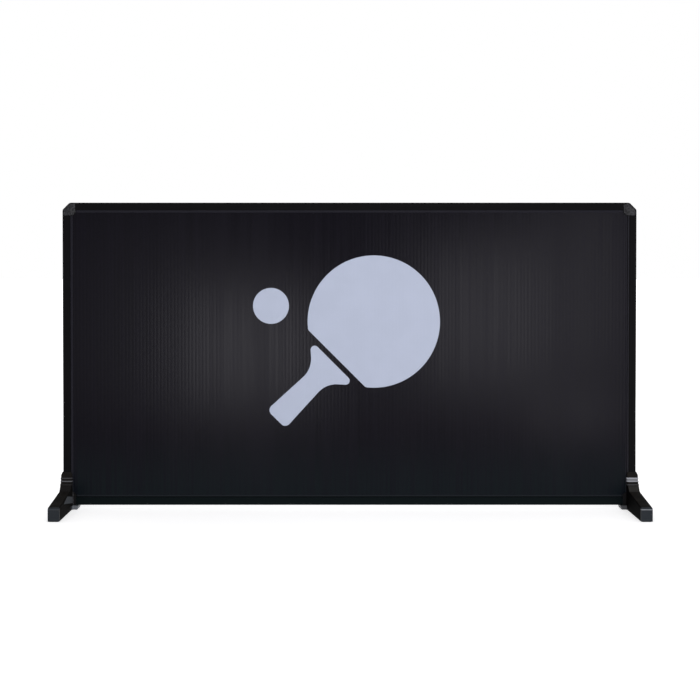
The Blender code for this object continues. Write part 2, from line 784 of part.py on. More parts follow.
def build_foot(word, side, finishes):
    """One foot on its own empty, which stands on the socket's upright axis."""
    turn = 0 if side < 0 else math.pi
    axis = empty(f"{word}_foot_axis", (side * (FRAME_WIDTH / 2 - TUBE_FACE / 2), 0, 0), turn)
    place(f"{word}_foot", foot_mesh(), finishes["foot"], axis)
    reach = FOOT_HALF_LENGTH - LEG_WALL - PAD_LENGTH / 2
    for end, direction in (("front", side), ("rear", -side)):
        spot = (0, direction * reach, 0)
        place(f"{word}_foot_{end}_pad", pad_mesh(), finishes["pad"], axis, spot)


def main():
    clear_scene()
    finishes = {
        "panel": material("black twin-wall sheet", (0.014, 0.013, 0.017), 0.38),
        "emblem": material("pale blue-grey print", (0.456, 0.503, 0.624), 0.55),
        "frame": material("black coated section", (0.009, 0.009, 0.009), 0.42, 0.3),
        "corner": material("grey grained plastic", (0.045, 0.045, 0.047), 0.6),
        "foot": material("black moulded plastic", (0.012, 0.012, 0.013), 0.4),
        "pad": material("black rubber", (0.01, 0.01, 0.01), 0.85),
        "screw": material("blackened steel", (0.05, 0.05, 0.055), 0.35, 1.0),
    }
    frame_axis = empty("frame_axis")
    build_frame(frame_axis, finishes)
    build_panel(frame_axis, finishes)
    build_screws(frame_axis, finishes["screw"])
    build_foot("left", -1, finishes)
    build_foot("right", 1, finishes)


main()
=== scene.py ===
"""Looks of a table tennis court barrier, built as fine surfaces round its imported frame.

Metres, +Z up, front towards -Y. Each class below is one sub-assembly: it takes its place from
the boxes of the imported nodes, works out its surfaces with numpy and dresses them.
"""

from __future__ import annotations

import logging
import math
from collections.abc import Sequence
from dataclasses import dataclass
from enum import Enum
from functools import partial, reduce

import bmesh
import bpy
import numpy as np
from mathutils import Euler, Matrix, Vector


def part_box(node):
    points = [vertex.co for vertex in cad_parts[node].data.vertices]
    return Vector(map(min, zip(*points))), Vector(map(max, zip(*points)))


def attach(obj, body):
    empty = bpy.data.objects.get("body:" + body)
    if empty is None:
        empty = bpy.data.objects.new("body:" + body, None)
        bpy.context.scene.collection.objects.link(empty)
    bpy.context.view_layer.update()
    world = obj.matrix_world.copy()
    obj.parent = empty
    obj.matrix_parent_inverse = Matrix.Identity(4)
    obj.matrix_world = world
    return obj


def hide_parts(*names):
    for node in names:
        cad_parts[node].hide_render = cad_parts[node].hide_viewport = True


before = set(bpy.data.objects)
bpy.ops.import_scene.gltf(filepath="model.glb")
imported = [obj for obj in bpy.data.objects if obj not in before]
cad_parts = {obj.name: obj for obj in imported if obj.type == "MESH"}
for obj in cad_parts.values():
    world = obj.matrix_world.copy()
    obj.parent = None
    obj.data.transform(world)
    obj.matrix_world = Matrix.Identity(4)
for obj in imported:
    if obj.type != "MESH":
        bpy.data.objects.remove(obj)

MM = 0.001
# Edges that turn by more than this stay sharp.
SMOOTH_ANGLE = math.radians(32)
# How far a cutter reaches past the faces that it cuts.
CUT_OVERRUN = 5 * MM
# Below this sine of their angle, two sides of an outline count as in line.
IN_LINE = 0.25
# The share of the shorter side beside a corner that the corner's arc may take up.
ARC_ROOM = 0.48
# The wave node draws a band each full turn over this many times its scale.
WAVE_BANDS = 20
# The point attribute that marks the lips of the frame's bars.
LIP_ATTRIBUTE = "lip"
SIDES = (-1, 1)

Colour = tuple[float, float, float]
Corner = tuple[float, float, float]
Place = tuple[float, float, float]
Span = tuple[float, float]
Material = bpy.types.Material
Mesh = bpy.types.Mesh
Socket = bpy.types.NodeSocket

# The span that nearly all of a noise node's values lie in.
NOISE_RANGE: Span = (0.3, 0.7)

log = logging.getLogger("barrier")


class Axis(Enum):
    """The world axis that an outline is carried along."""

    X = 0
    Y = 1
    Z = 2

    def place(self, outlines: np.ndarray, heights: np.ndarray) -> np.ndarray:
        """Puts flat outlines at heights along this axis.

        Args:
            outlines: Rows of (a, b) points, shaped (rows, columns, 2).
            heights: How far along the axis each row lies, shaped (rows,) or (rows, columns).

        Returns:
            Points shaped (rows, columns, 3), with a and b on the two other axes in order.
        """
        columns = outlines.shape[1]
        along = np.asarray(heights, float)
        if along.ndim == 1:
            along = np.repeat(along[:, None], columns, axis=1)
        parts = [outlines[..., 0], outlines[..., 1]]
        parts.insert(self.value, along)
        return np.stack(parts, axis=-1)


class Cut(Enum):
    """How a second surface is combined with a first one."""

    ADD = "UNION"
    TAKE = "DIFFERENCE"


@dataclass(frozen=True)
class Surface:
    """A closed surface: its points, and its faces as arrays of equal-sided polygons."""

    points: np.ndarray
    faces: tuple[np.ndarray, ...]

    def moved(self, by: Sequence[float]) -> Surface:
        """The same surface, shifted."""
        return Surface(self.points + np.asarray(by, float), self.faces)

    def turned(self, matrix: np.ndarray) -> Surface:
        """The same surface with each point multiplied by a 3 by 3 matrix."""
        return Surface(self.points @ np.asarray(matrix, float).T, self.faces)

    def joined(self, *others: Surface) -> Surface:
        """Puts surfaces together as separate shells.

        Args:
            *others: The surfaces to add to this one.

        Returns:
            One surface that holds them all.
        """
        surfaces = (self, *others)
        offsets = np.cumsum([0, *(len(s.points) for s in surfaces[:-1])])
        faces = tuple(f + o for s, o in zip(surfaces, offsets) for f in s.faces)
        return Surface(np.concatenate([s.points for s in surfaces]), faces)

    def mesh(self, name: str) -> Mesh:
        """Writes the surface into a Blender mesh whose faces point outwards.

        Args:
            name: Name of the mesh.

        Returns:
            The new mesh.
        """
        made = bpy.data.meshes.new(name)
        counts = np.concatenate([np.full(len(f), f.shape[1]) for f in self.faces])
        starts = np.concatenate([[0], np.cumsum(counts)[:-1]])
        corners = np.concatenate([f.ravel() for f in self.faces])
        made.vertices.add(len(self.points))
        made.vertices.foreach_set("co", self.points.astype(np.float32).ravel())
        made.loops.add(len(corners))
        made.loops.foreach_set("vertex_index", corners.astype(np.int32))
        made.polygons.add(len(counts))
        made.polygons.foreach_set("loop_start", starts.astype(np.int32))
        made.update(calc_edges=True)
        shape = bmesh.new()
        shape.from_mesh(made)
        bmesh.ops.recalc_face_normals(shape, faces=shape.faces)
        shape.to_mesh(made)
        shape.free()
        return made


def grid_quads(index: np.ndarray) -> np.ndarray:
    """Quads of a grid of points.

    Quad (r, c) joins columns c and c + 1 of rows r and r + 1, and columns wrap round.

    Args:
        index: Point numbers shaped (rows, columns).

    Returns:
        Point numbers shaped (count, 4).
    """
    beside = np.roll(index, -1, axis=1)
    return np.stack([index[:-1], beside[:-1], beside[1:], index[1:]], axis=-1).reshape(-1, 4)


def loft(rings: np.ndarray) -> Surface:
    """Joins rings of points into one closed surface with a flat face at each end.

    Args:
        rings: Points shaped (rows, columns, 3).

    Returns:
        The closed surface.
    """
    rows, columns = rings.shape[:2]
    index = np.arange(rows * columns).reshape(rows, columns)
    return Surface(rings.reshape(-1, 3), (grid_quads(index), index[:1, ::-1], index[-1:]))


def on_circle(angle: np.ndarray) -> np.ndarray:
    """The points (cos, sin) of the unit circle at these angles."""
    return np.stack([np.cos(angle), np.sin(angle)], axis=-1)


def unit(vectors: np.ndarray) -> np.ndarray:
    """The same directions with length one."""
    return vectors / np.linalg.norm(vectors, axis=-1, keepdims=True)


def rounded(corners: Sequence[Corner], steps: int = 8) -> np.ndarray:
    """An outline from (a, b, radius) corners, each with a radius turned into an arc.

    With p and q the directions to a corner's neighbours and h half the angle between them, the
    arc starts radius / tan(h) along p, ends as far along q, and its centre lies radius / sin(h)
    along their bisector. An arc that its sides are too short for is made smaller.

    Args:
        corners: The corners in order round the outline.
        steps: Straight steps in each arc.

    Returns:
        Points shaped (count, 2).
    """
    table = np.asarray(corners, float)
    here, radius = table[:, :2], table[:, 2]
    before = np.roll(here, 1, axis=0) - here
    after = np.roll(here, -1, axis=0) - here
    shortest = np.minimum(np.linalg.norm(before, axis=1), np.linalg.norm(after, axis=1))
    p, q = unit(before), unit(after)
    half = np.arccos(np.clip((p * q).sum(axis=1), -1, 1)) / 2
    tangent = np.minimum(radius / np.tan(half), ARC_ROOM * shortest)
    true_radius = tangent * np.tan(half)
    centre = here + unit(p + q) * (true_radius / np.sin(half))[:, None]
    start = here + p * tangent[:, None] - centre
    end = here + q * tangent[:, None] - centre
    first = np.arctan2(start[:, 1], start[:, 0])
    last = np.arctan2(end[:, 1], end[:, 0])
    sweep = (last - first + math.pi) % math.tau - math.pi
    angle = first[:, None] + sweep[:, None] * np.linspace(0, 1, steps + 1)
    points = centre[:, None] + true_radius[:, None, None] * on_circle(angle)
    points[radius == 0] = here[radius == 0][:, None]
    kept = (radius > 0)[:, None] | (np.arange(steps + 1) == 0)[None]
    return points[kept]


def mirrored(side: Sequence[Corner], by: tuple[int, int] = (-1, 1)) -> list[Corner]:
    """The corners of one side of an outline and, in reverse, of its mirror image."""
    return [*side, *((by[0] * a, by[1] * b, radius) for a, b, radius in reversed(side))]


def box_outline(a: Span, b: Span, radius: float = 0.0, steps: int = 4) -> np.ndarray:
    """A rectangle with rounded corners.

    Args:
        a: Its low and high side in a.
        b: Its low and high side in b.
        radius: Radius of its corners.
        steps: Straight steps in each arc.

    Returns:
        Points shaped (count, 2).
    """
    (left, right), (low, high) = a, b
    corners = [(left, low), (right, low), (right, high), (left, high)]
    return rounded([(*corner, radius) for corner in corners], steps)


def inset(outline: np.ndarray, by: np.ndarray) -> np.ndarray:
    """Moves each side of an outline inwards and meets the sides again.

    Side i, from point i to point i + 1, moves by its own distance along its inward normal. A
    point moves by the vector whose reach along both neighbouring normals is their distances,
    or their mean distance where the two sides are nearly in line.

    Args:
        outline: Points shaped (columns, 2).
        by: Distances shaped (rows, columns).

    Returns:
        Outlines shaped (rows, columns, 2).
    """
    side = unit(np.roll(outline, -1, axis=0) - outline)
    normal = np.stack([-side[:, 1], side[:, 0]], axis=-1)
    after = np.roll(outline, -1, axis=0)
    area = (outline[:, 0] * after[:, 1] - outline[:, 1] * after[:, 0]).sum()
    normal *= np.sign(area)
    last = np.roll(normal, 1, axis=0)
    before = np.roll(by, 1, axis=1)
    cross = last[:, 0] * normal[:, 1] - last[:, 1] * normal[:, 0]
    bent = (np.abs(cross) > IN_LINE)[None, :, None]
    crossed = np.where(np.abs(cross) > IN_LINE, cross, 1.0)
    exact = np.stack(
        [
            (before * normal[:, 1] - by * last[:, 1]) / crossed,
            (by * last[:, 0] - before * normal[:, 0]) / crossed,
        ],
        axis=-1,
    )
    mean = (by + before) / 2 / (1 + (last * normal).sum(axis=1))
    return outline + np.where(bent, exact, mean[..., None] * (last + normal))


def rim(ease: float, steps: int) -> tuple[np.ndarray, np.ndarray]:
    """How far a rounded rim reaches in and rises, step by step.

    They are ease * (1 - sin t) and ease * (1 - cos t), with t from 0 to a right angle.

    Args:
        ease: Radius of the rim.
        steps: Straight steps over it.

    Returns:
        The reaches and the rises.
    """
    turn = np.linspace(0, math.pi / 2, steps + 1)
    return ease * (1 - np.sin(turn)), ease * (1 - np.cos(turn))


def prism(
    outline: np.ndarray,
    span: Span,
    axis: Axis,
    ease: float = 0.0,
    shares: np.ndarray | float = 1.0,
    steps: int = 4,
) -> Surface:
    """An outline carried along an axis, inset over each end by the reach of a rounded rim.

    Args:
        outline: Points shaped (columns, 2).
        span: Where it starts and ends along the axis.
        axis: The axis that it is carried along.
        ease: Radius of the rounded rims; none if it is 0.
        shares: The share of the inset that each side takes.
        steps: Straight steps over each rim.

    Returns:
        The closed surface.
    """
    low, high = sorted(span)
    if ease == 0:
        heights = np.array([low, high])
        drawn_in = np.zeros(2)
    else:
        reach, rise = rim(ease, steps)
        heights = np.concatenate([low + rise, (high - rise)[::-1]])
        drawn_in = np.concatenate([reach, reach[::-1]])
    by = drawn_in[:, None] * (np.zeros(len(outline)) + shares)
    return loft(axis.place(inset(outline, by), heights))


def turned_surface(radii: np.ndarray, heights: np.ndarray, sides: int) -> Surface:
    """A profile turned about Z: point (r, c) stands at radius r in direction c.

    Args:
        radii: The profile's radii shaped (rows,), or (rows, sides) where they vary round it.
        heights: Height of each row.
        sides: Points round the axis.

    Returns:
        The closed surface.
    """
    angle = np.arange(sides) * math.tau / sides
    radius = radii if radii.ndim == 2 else radii[:, None]
    return loft(Axis.Z.place(radius[..., None] * on_circle(angle), heights))


def linked(name: str, data: bpy.types.ID | None) -> bpy.types.Object:
    """Puts a new object in the scene.

    Args:
        name: Name of the object.
        data: The mesh, lamp or camera that it shows.

    Returns:
        The object.
    """
    made = bpy.data.objects.new(name, data)
    bpy.context.scene.collection.objects.link(made)
    return made


def evaluated_mesh(obj: bpy.types.Object) -> Mesh:
    """The object's mesh with its modifiers applied."""
    graph = bpy.context.evaluated_depsgraph_get()
    return bpy.data.meshes.new_from_object(obj.evaluated_get(graph))


def combined(name: str, base: Surface, *steps: tuple[Cut, Surface]) -> Mesh:
    """The base surface after each step's union or difference, done in turn.

    Args:
        name: Name of the mesh.
        base: The surface to start from.
        *steps: Pairs of how to combine and what with.

    Returns:
        The combined mesh.
    """
    work = linked(name + "_work", base.mesh(name))
    tools = []
    for cut, surface in steps:
        tool = linked(name + "_tool", surface.mesh(name + "_tool"))
        tools.append(tool)
        modifier = work.modifiers.new(cut.name, "BOOLEAN")
        modifier.operation = cut.value
        modifier.solver = "EXACT"
        modifier.object = tool
    made = evaluated_mesh(work)
    for helper in (work, *tools):
        bpy.data.objects.remove(helper)
    made.name = name
    return made


def turned_to(place: Sequence[float], axis: Axis, quarters: int) -> Matrix:
    """The matrix that turns about an axis and then moves to a place.

    Args:
        place: The place that the origin goes to.
        axis: The axis that it turns about.
        quarters: How many quarter turns.

    Returns:
        The matrix.
    """
    angles = [quarters * math.pi / 2 if each is axis else 0 for each in Axis]
    turn = Euler(angles).to_matrix().to_4x4()
    turn.translation = Vector(place)
    return turn


class Maths(Enum):
    """What a Math node does with its two numbers."""

    PLUS = "ADD"
    MINUS = "SUBTRACT"
    TIMES = "MULTIPLY"
    LARGER = "MAXIMUM"
    SIZE = "ABSOLUTE"
    BELOW = "LESS_THAN"
    ABOVE = "GREATER_THAN"
    ZIGZAG = "PINGPONG"


class Mixed(Enum):
    """What a Mix node mixes."""

    COLOURS = "RGBA"
    NUMBERS = "FLOAT"


class NodeGraph:
    """The nodes of one material, added and joined in a few words."""

    def __init__(self, name: str) -> None:
        """Starts a material whose surface is one Principled shader.

        Args:
            name: Name of the material.
        """
        self.material = bpy.data.materials.new(name)
        self.material.use_nodes = True
        self.tree = self.material.node_tree
        self.shader = self.tree.nodes["Principled BSDF"]

    def add(self, kind: str, **settings: object) -> bpy.types.Node:
        """Adds a node.

        Args:
            kind: The type of node.
            **settings: The node's options by name.

        Returns:
            The new node.
        """
        node = self.tree.nodes.new(kind)
        for name, value in settings.items():
            setattr(node, name, value)
        return node

    def feed(self, socket: Socket, value: object) -> None:
        """Joins an output to a socket, or writes a plain value on it.

        Args:
            socket: The input to fill.
            value: An output, a number or a colour.
        """
        if isinstance(value, Socket):
            self.tree.links.new(value, socket)
        else:
            socket.default_value = value

    def place(self, stretch: Sequence[float] = (1, 1, 1)) -> Socket:
        """Object coordinates.

        Args:
            stretch: What each axis is multiplied by.

        Returns:
            The coordinates.
        """
        mapping = self.add("ShaderNodeMapping")
        mapping.inputs["Scale"].default_value = stretch
        self.feed(mapping.inputs["Vector"], self.add("ShaderNodeTexCoord").outputs["Object"])
        return mapping.outputs["Vector"]

    def along(self, axis: Axis) -> Socket:
        """The Object coordinate on one axis; every piece keeps its origin on the floor.

        Args:
            axis: The axis.

        Returns:
            The coordinate in metres.
        """
        split = self.add("ShaderNodeSeparateXYZ")
        self.feed(split.inputs["Vector"], self.place())
        return split.outputs[axis.name]

    def out(self, axis: Axis) -> Socket:
        """How far a point lies from the middle on one axis, to either side."""
        return self.maths(Maths.SIZE, self.along(axis))

    def noise(
        self, grain: float, stretch: Sequence[float] = (1, 1, 1), detail: float = 2
    ) -> Socket:
        """Noise whose features are about one grain long.

        Args:
            grain: Length of a feature in metres.
            stretch: Density along each axis; under 1 draws features out.
            detail: Octaves of finer noise.

        Returns:
            The noise, mostly within NOISE_RANGE.
        """
        node = self.add("ShaderNodeTexNoise")
        self.feed(node.inputs["Vector"], self.place(stretch))
        node.inputs["Scale"].default_value = 1 / grain
        node.inputs["Detail"].default_value = detail
        return node.outputs["Fac"]

    def cells(self, grain: float) -> Socket:
        """Distance to the nearest of scattered points.

        Args:
            grain: About how far apart the points lie, in metres.

        Returns:
            The distance, in grains.
        """
        node = self.add("ShaderNodeTexVoronoi", feature="F1")
        self.feed(node.inputs["Vector"], self.place())
        node.inputs["Scale"].default_value = 1 / grain
        return node.outputs["Distance"]

    def between(self, value: Socket, start: Span, end: Span) -> Socket:
        """Carries a value smoothly from one span to another, held at the ends.

        Args:
            value: The value.
            start: The span that it is read in.
            end: The span that it is carried to.

        Returns:
            The new value.
        """
        node = self.add("ShaderNodeMapRange", interpolation_type="SMOOTHSTEP")
        self.feed(node.inputs["Value"], value)
        for socket, number in zip(("From Min", "From Max", "To Min", "To Max"), (*start, *end)):
            node.inputs[socket].default_value = number
        return node.outputs["Result"]

    def rising(self, value: Socket, span: Span) -> Socket:
        """Nothing below a span and one above it."""
        return self.between(value, span, (0.0, 1.0))

    def falling(self, value: Socket, span: Span) -> Socket:
        """One below a span and nothing above it."""
        return self.between(value, span, (1.0, 0.0))

    def stripe(self, value: Socket, span: Span, soft: float) -> Socket:
        """One inside a span and nothing outside it.

        Args:
            value: The value that the span is set in.
            span: Where the stripe lies.
            soft: How far it fades, to either side of each end.

        Returns:
            The stripe's strength.
        """
        low, high = span
        rise = self.rising(value, (low - soft, low + soft))
        return self.times(rise, self.falling(value, (high - soft, high + soft)))

    def maths(self, how: Maths, first: object, second: object = 0.0) -> Socket:
        """Works out one number from two.

        Args:
            how: What is done with them.
            first: The first number, plain or an output.
            second: The second number.

        Returns:
            The result.
        """
        node = self.add("ShaderNodeMath", operation=how.value)
        self.feed(node.inputs[0], first)
        self.feed(node.inputs[1], second)
        return node.outputs["Value"]

    def times(self, *values: object) -> Socket:
        """The product of some numbers."""
        return reduce(partial(self.maths, Maths.TIMES), values)

    def larger(self, *values: object) -> Socket:
        """The largest of some numbers."""
        return reduce(partial(self.maths, Maths.LARGER), values)

    def blend(
        self, share: object, first: object, second: object, kind: Mixed = Mixed.COLOURS
    ) -> Socket:
        """Mixes two colours or numbers.

        Args:
            share: The share of the second one.
            first: What shows where the share is 0.
            second: What shows where the share is 1.
            kind: Whether they are colours or numbers.

        Returns:
            The mixture.
        """
        node = self.add("ShaderNodeMix", data_type=kind.value)
        for socket, value in (("Factor", share), ("A", first), ("B", second)):
            self.feed(node.inputs[socket], (*value, 1) if isinstance(value, tuple) else value)
        return node.outputs["Result"]

    def by_side(self, span: Span, left: Colour, right: Colour) -> Socket:
        """One colour on the left foot and another on the right."""
        return self.blend(self.rising(self.along(Axis.X), span), left, right)

    def height(self, value: Socket, depth: float) -> None:
        """Lays a relief over what is there already.

        Args:
            value: The relief's height as a share of its depth.
            depth: Its depth in metres.
        """
        bump = self.add("ShaderNodeBump")
        normal = self.shader.inputs["Normal"]
        bump.inputs["Distance"].default_value = depth
        self.feed(bump.inputs["Height"], value)
        if normal.is_linked:
            self.feed(bump.inputs["Normal"], normal.links[0].from_socket)
        self.feed(normal, bump.outputs["Normal"])

    def finish(self, base: object, roughness: Socket, gloss: float = 0.5) -> None:
        """Fills the shader's main inputs.

        Args:
            base: The colour.
            roughness: The roughness.
            gloss: The specular level.
        """
        inputs = self.shader.inputs
        self.feed(inputs["Base Color"], base)
        self.feed(inputs["Roughness"], roughness)
        inputs["Specular IOR Level"].default_value = gloss


def shade(colour: Colour, share: float) -> Colour:
    """The colour with each channel multiplied by a share."""
    return tuple(channel * share for channel in colour)


def two_shades(colour: Colour, shares: Span) -> tuple[Colour, Colour]:
    """The colour multiplied by one share and by another, as the ends of a blend."""
    return shade(colour, shares[0]), shade(colour, shares[1])


@dataclass(frozen=True)
class CoatedMetal:
    """Black powder coat on extruded metal, with drawn lines along the length."""

    colour: Colour = (0.0026, 0.0025, 0.0027)
    # Painted floor bounce: the coat turns bluer towards the floor and fades out higher up.
    floor_bounce_colour: Colour = (0.0018, 0.0042, 0.0047)
    # Painted highlight: the lips are paler than the tube face, and bluer near the floor from the
    # painted floor bounce.
    lip_highlight_colour: Colour = (0.0157, 0.0152, 0.0202)
    floor_bounce_lip_highlight: Colour = (0.0118, 0.0146, 0.0178)
    painted_near_floor_span: Span = (20 * MM, 110 * MM)
    wear: float = 160 * MM
    wear_span: Span = (0.4, 0.75)
    wear_shares: Span = (0.85, 1.25)
    # Painted shadow line on the bottom rail where its face steps back to the lip.
    rail_shadow_line: Span = (29.5 * MM, 31.7 * MM)
    rail_shadow_share: float = 0.6
    # Painted highlight and painted shadow lines at the right upright's step to its lip.
    step_highlight_colour: Colour = (0.035, 0.034, 0.042)
    step_highlight_line: Span = (680.6 * MM, 682.3 * MM)
    lip_shadow_lines: tuple[Span, Span] = ((678.4 * MM, 680.6 * MM), (682.3 * MM, 684.6 * MM))
    lip_shadow_share: float = 0.3
    line_edge: float = 0.2 * MM
    roughness: Span = (0.42, 0.52)
    along: Axis = Axis.X
    grain: float = 0.9 * MM
    grain_depth: float = 0.02 * MM
    line: float = 1.4 * MM
    line_depth: float = 0.012 * MM
    line_density: float = 0.004
    gloss: float = 0.032

    def material(self) -> Material:
        """Builds the node material.

        Returns:
            The coat, with its lines along one axis.
        """
        graph = NodeGraph(f"black_coat_along_{self.along.name}")
        stretch = [1.0, 1.0, 1.0]
        stretch[self.along.value] = self.line_density
        lines = graph.noise(self.line, stretch)
        wear_and_painted_light = graph.rising(graph.noise(self.wear, detail=4), self.wear_span)
        base = graph.blend(wear_and_painted_light, *two_shades(self.colour, self.wear_shares))
        # Painted floor bounce tint towards the floor.
        rise = graph.rising(graph.along(Axis.Z), self.painted_near_floor_span)
        base = graph.blend(rise, self.floor_bounce_colour, base)
        lip = graph.add("ShaderNodeAttribute", attribute_name=LIP_ATTRIBUTE).outputs["Fac"]
        # Painted highlight colour on the lips.
        base = graph.blend(lip, base, graph.blend(rise, self.floor_bounce_lip_highlight, self.lip_highlight_colour))
        if self.along is Axis.Z:
            base = self.painted_lip_lines(graph, base)
        else:
            # Painted shadow line along the bottom rail's step to its lip.
            line = graph.stripe(graph.along(Axis.Z), self.rail_shadow_line, self.line_edge)
            base = graph.blend(line, base, shade(self.floor_bounce_colour, self.rail_shadow_share))
        graph.finish(base, graph.between(lines, NOISE_RANGE, self.roughness), self.gloss)
        graph.height(lines, self.line_depth)
        graph.height(graph.noise(self.grain), self.grain_depth)
        return graph.material

    def painted_lip_lines(self, graph: NodeGraph, base: Socket) -> Socket:
        """A painted highlight line between two painted shadow lines where the right upright steps
        down to its lip.

        Args:
            graph: The material's nodes.
            base: The colour under the lines.

        Returns:
            The colour with the lines on it.
        """
        place = graph.along(Axis.X)
        dark = shade(self.colour, self.lip_shadow_share)
        lines = [*((span, dark) for span in self.lip_shadow_lines), (self.step_highlight_line, self.step_highlight_colour)]
        for span, colour in lines:
            base = graph.blend(graph.stripe(place, span, self.line_edge), base, colour)
        return base


@dataclass(frozen=True)
class TwinWallPlastic:
    """Black twin-wall sheet: a satin skin that shows its ribs as faint upright streaks."""

    upper: Colour = (0.0024, 0.0019, 0.0043)
    # Painted reflection of the floor: the lower part of the sheet is paler and bluer.
    lower: Colour = (0.0052, 0.0083, 0.0102)
    floor_reflection_span: Span = (20 * MM, 210 * MM)
    roughness: Span = (0.18, 0.24)
    sheen_span: Span = (0.35, 0.65)
    streak: float = 5 * MM
    streak_density: float = 0.012
    streak_span: Span = (0.35, 0.7)
    streak_strength: float = 0.5
    streak_share: float = 1.5
    broad: float = 90 * MM
    skin_grain: float = 2.2 * MM
    skin_depth: float = 0.012 * MM
    gloss: float = 0.042

    def material(self) -> Material:
        """Builds the node material.

        Returns:
            The sheet's finish.
        """
        graph = NodeGraph("black_twin_wall")
        upright = (1.0, 1.0, self.streak_density)
        streaks = graph.noise(self.streak, upright, detail=3)
        # Painted floor reflection, fading out up the sheet.
        rise = graph.rising(graph.along(Axis.Z), self.floor_reflection_span)
        floor_tinted = graph.blend(rise, self.lower, self.upper)
        streaked = graph.between(streaks, self.streak_span, (0.0, self.streak_strength))
        base = graph.blend(streaked, floor_tinted, shade(self.upper, self.streak_share))
        both = graph.maths(Maths.PLUS, streaks, graph.noise(self.broad, upright))
        mean = graph.times(both, 1 / 2)
        graph.finish(base, graph.between(mean, self.sheen_span, self.roughness), self.gloss)
        graph.height(graph.noise(self.skin_grain, upright), self.skin_depth)
        return graph.material


@dataclass(frozen=True)
class MouldedPlastic:
    """Grained injection-moulded plastic, with the grain's depth and gloss as they show."""

    name: str
    colour: Colour
    roughness: Span
    grain: float
    grain_depth: float
    gloss: float
    mottle: float = 0.35
    mottle_span: Span = (0.4, 0.9)
    patch_grains: float = 24
    cell_weight: float = 0.3

    def patches(self, graph: NodeGraph) -> Socket:
        """Noise in soft patches, many grains wide."""
        return graph.noise(self.grain * self.patch_grains, detail=4)

    def fine(self, graph: NodeGraph) -> Socket:
        """Noise half a grain wide."""
        return graph.noise(self.grain / 2, detail=3)

    def tone(self, graph: NodeGraph) -> Socket:
        """The colour, mottled in soft patches and by the grain itself.

        Args:
            graph: The material's nodes.

        Returns:
            The colour.
        """
        cells = graph.times(graph.cells(self.grain), self.cell_weight)
        both = graph.maths(Maths.PLUS, self.patches(graph), cells)
        shares = (1 - self.mottle, 1 + self.mottle)
        return graph.blend(graph.rising(both, self.mottle_span), *two_shades(self.colour, shares))

    def sheen(self, graph: NodeGraph) -> Socket:
        """The roughness, varied finely over the grain."""
        return graph.between(self.fine(graph), NOISE_RANGE, self.roughness)

    def material(self) -> Material:
        """Builds the node material.

        Returns:
            The plastic, with its grain as a relief.
        """
        graph = NodeGraph(self.name)
        graph.finish(self.tone(graph), self.sheen(graph), self.gloss)
        graph.height(graph.cells(self.grain), self.grain_depth)
        graph.height(self.fine(graph), self.grain_depth / 3)
        return graph.material


@dataclass(frozen=True)
class CornerPlastic(MouldedPlastic):
    """The connectors' plastic: speckled, with painted shade along its rims and near the floor."""

    # Painted shade near the floor, fading out higher up.
    floor_shade_share: float = 0.2
    painted_near_floor_span: Span = (70 * MM, 200 * MM)
    # Painted shade along the outer rims: the sides, the top and the slant.
    rim_shade_share: float = 0.15
    rim_across: Span = (696.9 * MM, 697.6 * MM)
    rim_height: Span = (746.7 * MM, 747.4 * MM)
    rim_slant: Span = (1428.6 * MM, 1429.6 * MM)
    # Painted light: the left connector's outer end is spared the painted floor shade.
    lit_end: Span = (-675 * MM, -674 * MM)
    speck: float = 3.6 * MM
    speck_weight: float = 0.65
    speck_span: Span = (0.42, 0.6)
    speck_shares: Span = (0.5, 1.62)

    def speckled(self, graph: NodeGraph) -> Socket:
        """The colour in specks and soft patches, summed by their weights.

        Args:
            graph: The material's nodes.

        Returns:
            The colour.
        """
        patches = graph.times(self.patches(graph), 1 - self.speck_weight)
        specks = graph.times(graph.noise(self.speck, detail=3), self.speck_weight)
        share = graph.rising(graph.maths(Maths.PLUS, patches, specks), self.speck_span)
        return graph.blend(share, *two_shades(self.colour, self.speck_shares))

    def tone(self, graph: NodeGraph) -> Socket:
        """The speckled colour, with painted shade along the rims and near the floor, left off
        where the left connector's outer end keeps painted light.

        Args:
            graph: The material's nodes.

        Returns:
            The colour.
        """
        across, height = graph.out(Axis.X), graph.along(Axis.Z)
        slant = graph.maths(Maths.PLUS, across, height)
        rims = ((across, self.rim_across), (height, self.rim_height), (slant, self.rim_slant))
        edge = graph.larger(*(graph.rising(place, span) for place, span in rims))
        # Painted shade along the rims.
        rim_shaded = graph.blend(edge, self.speckled(graph), shade(self.colour, self.rim_shade_share))
        # Painted shade near the floor, spared at the left connector's outer end.
        left_lit = graph.falling(graph.along(Axis.X), self.lit_end)
        pale = graph.larger(graph.rising(height, self.painted_near_floor_span), left_lit)
        return graph.blend(pale, shade(self.colour, self.floor_shade_share), rim_shaded)


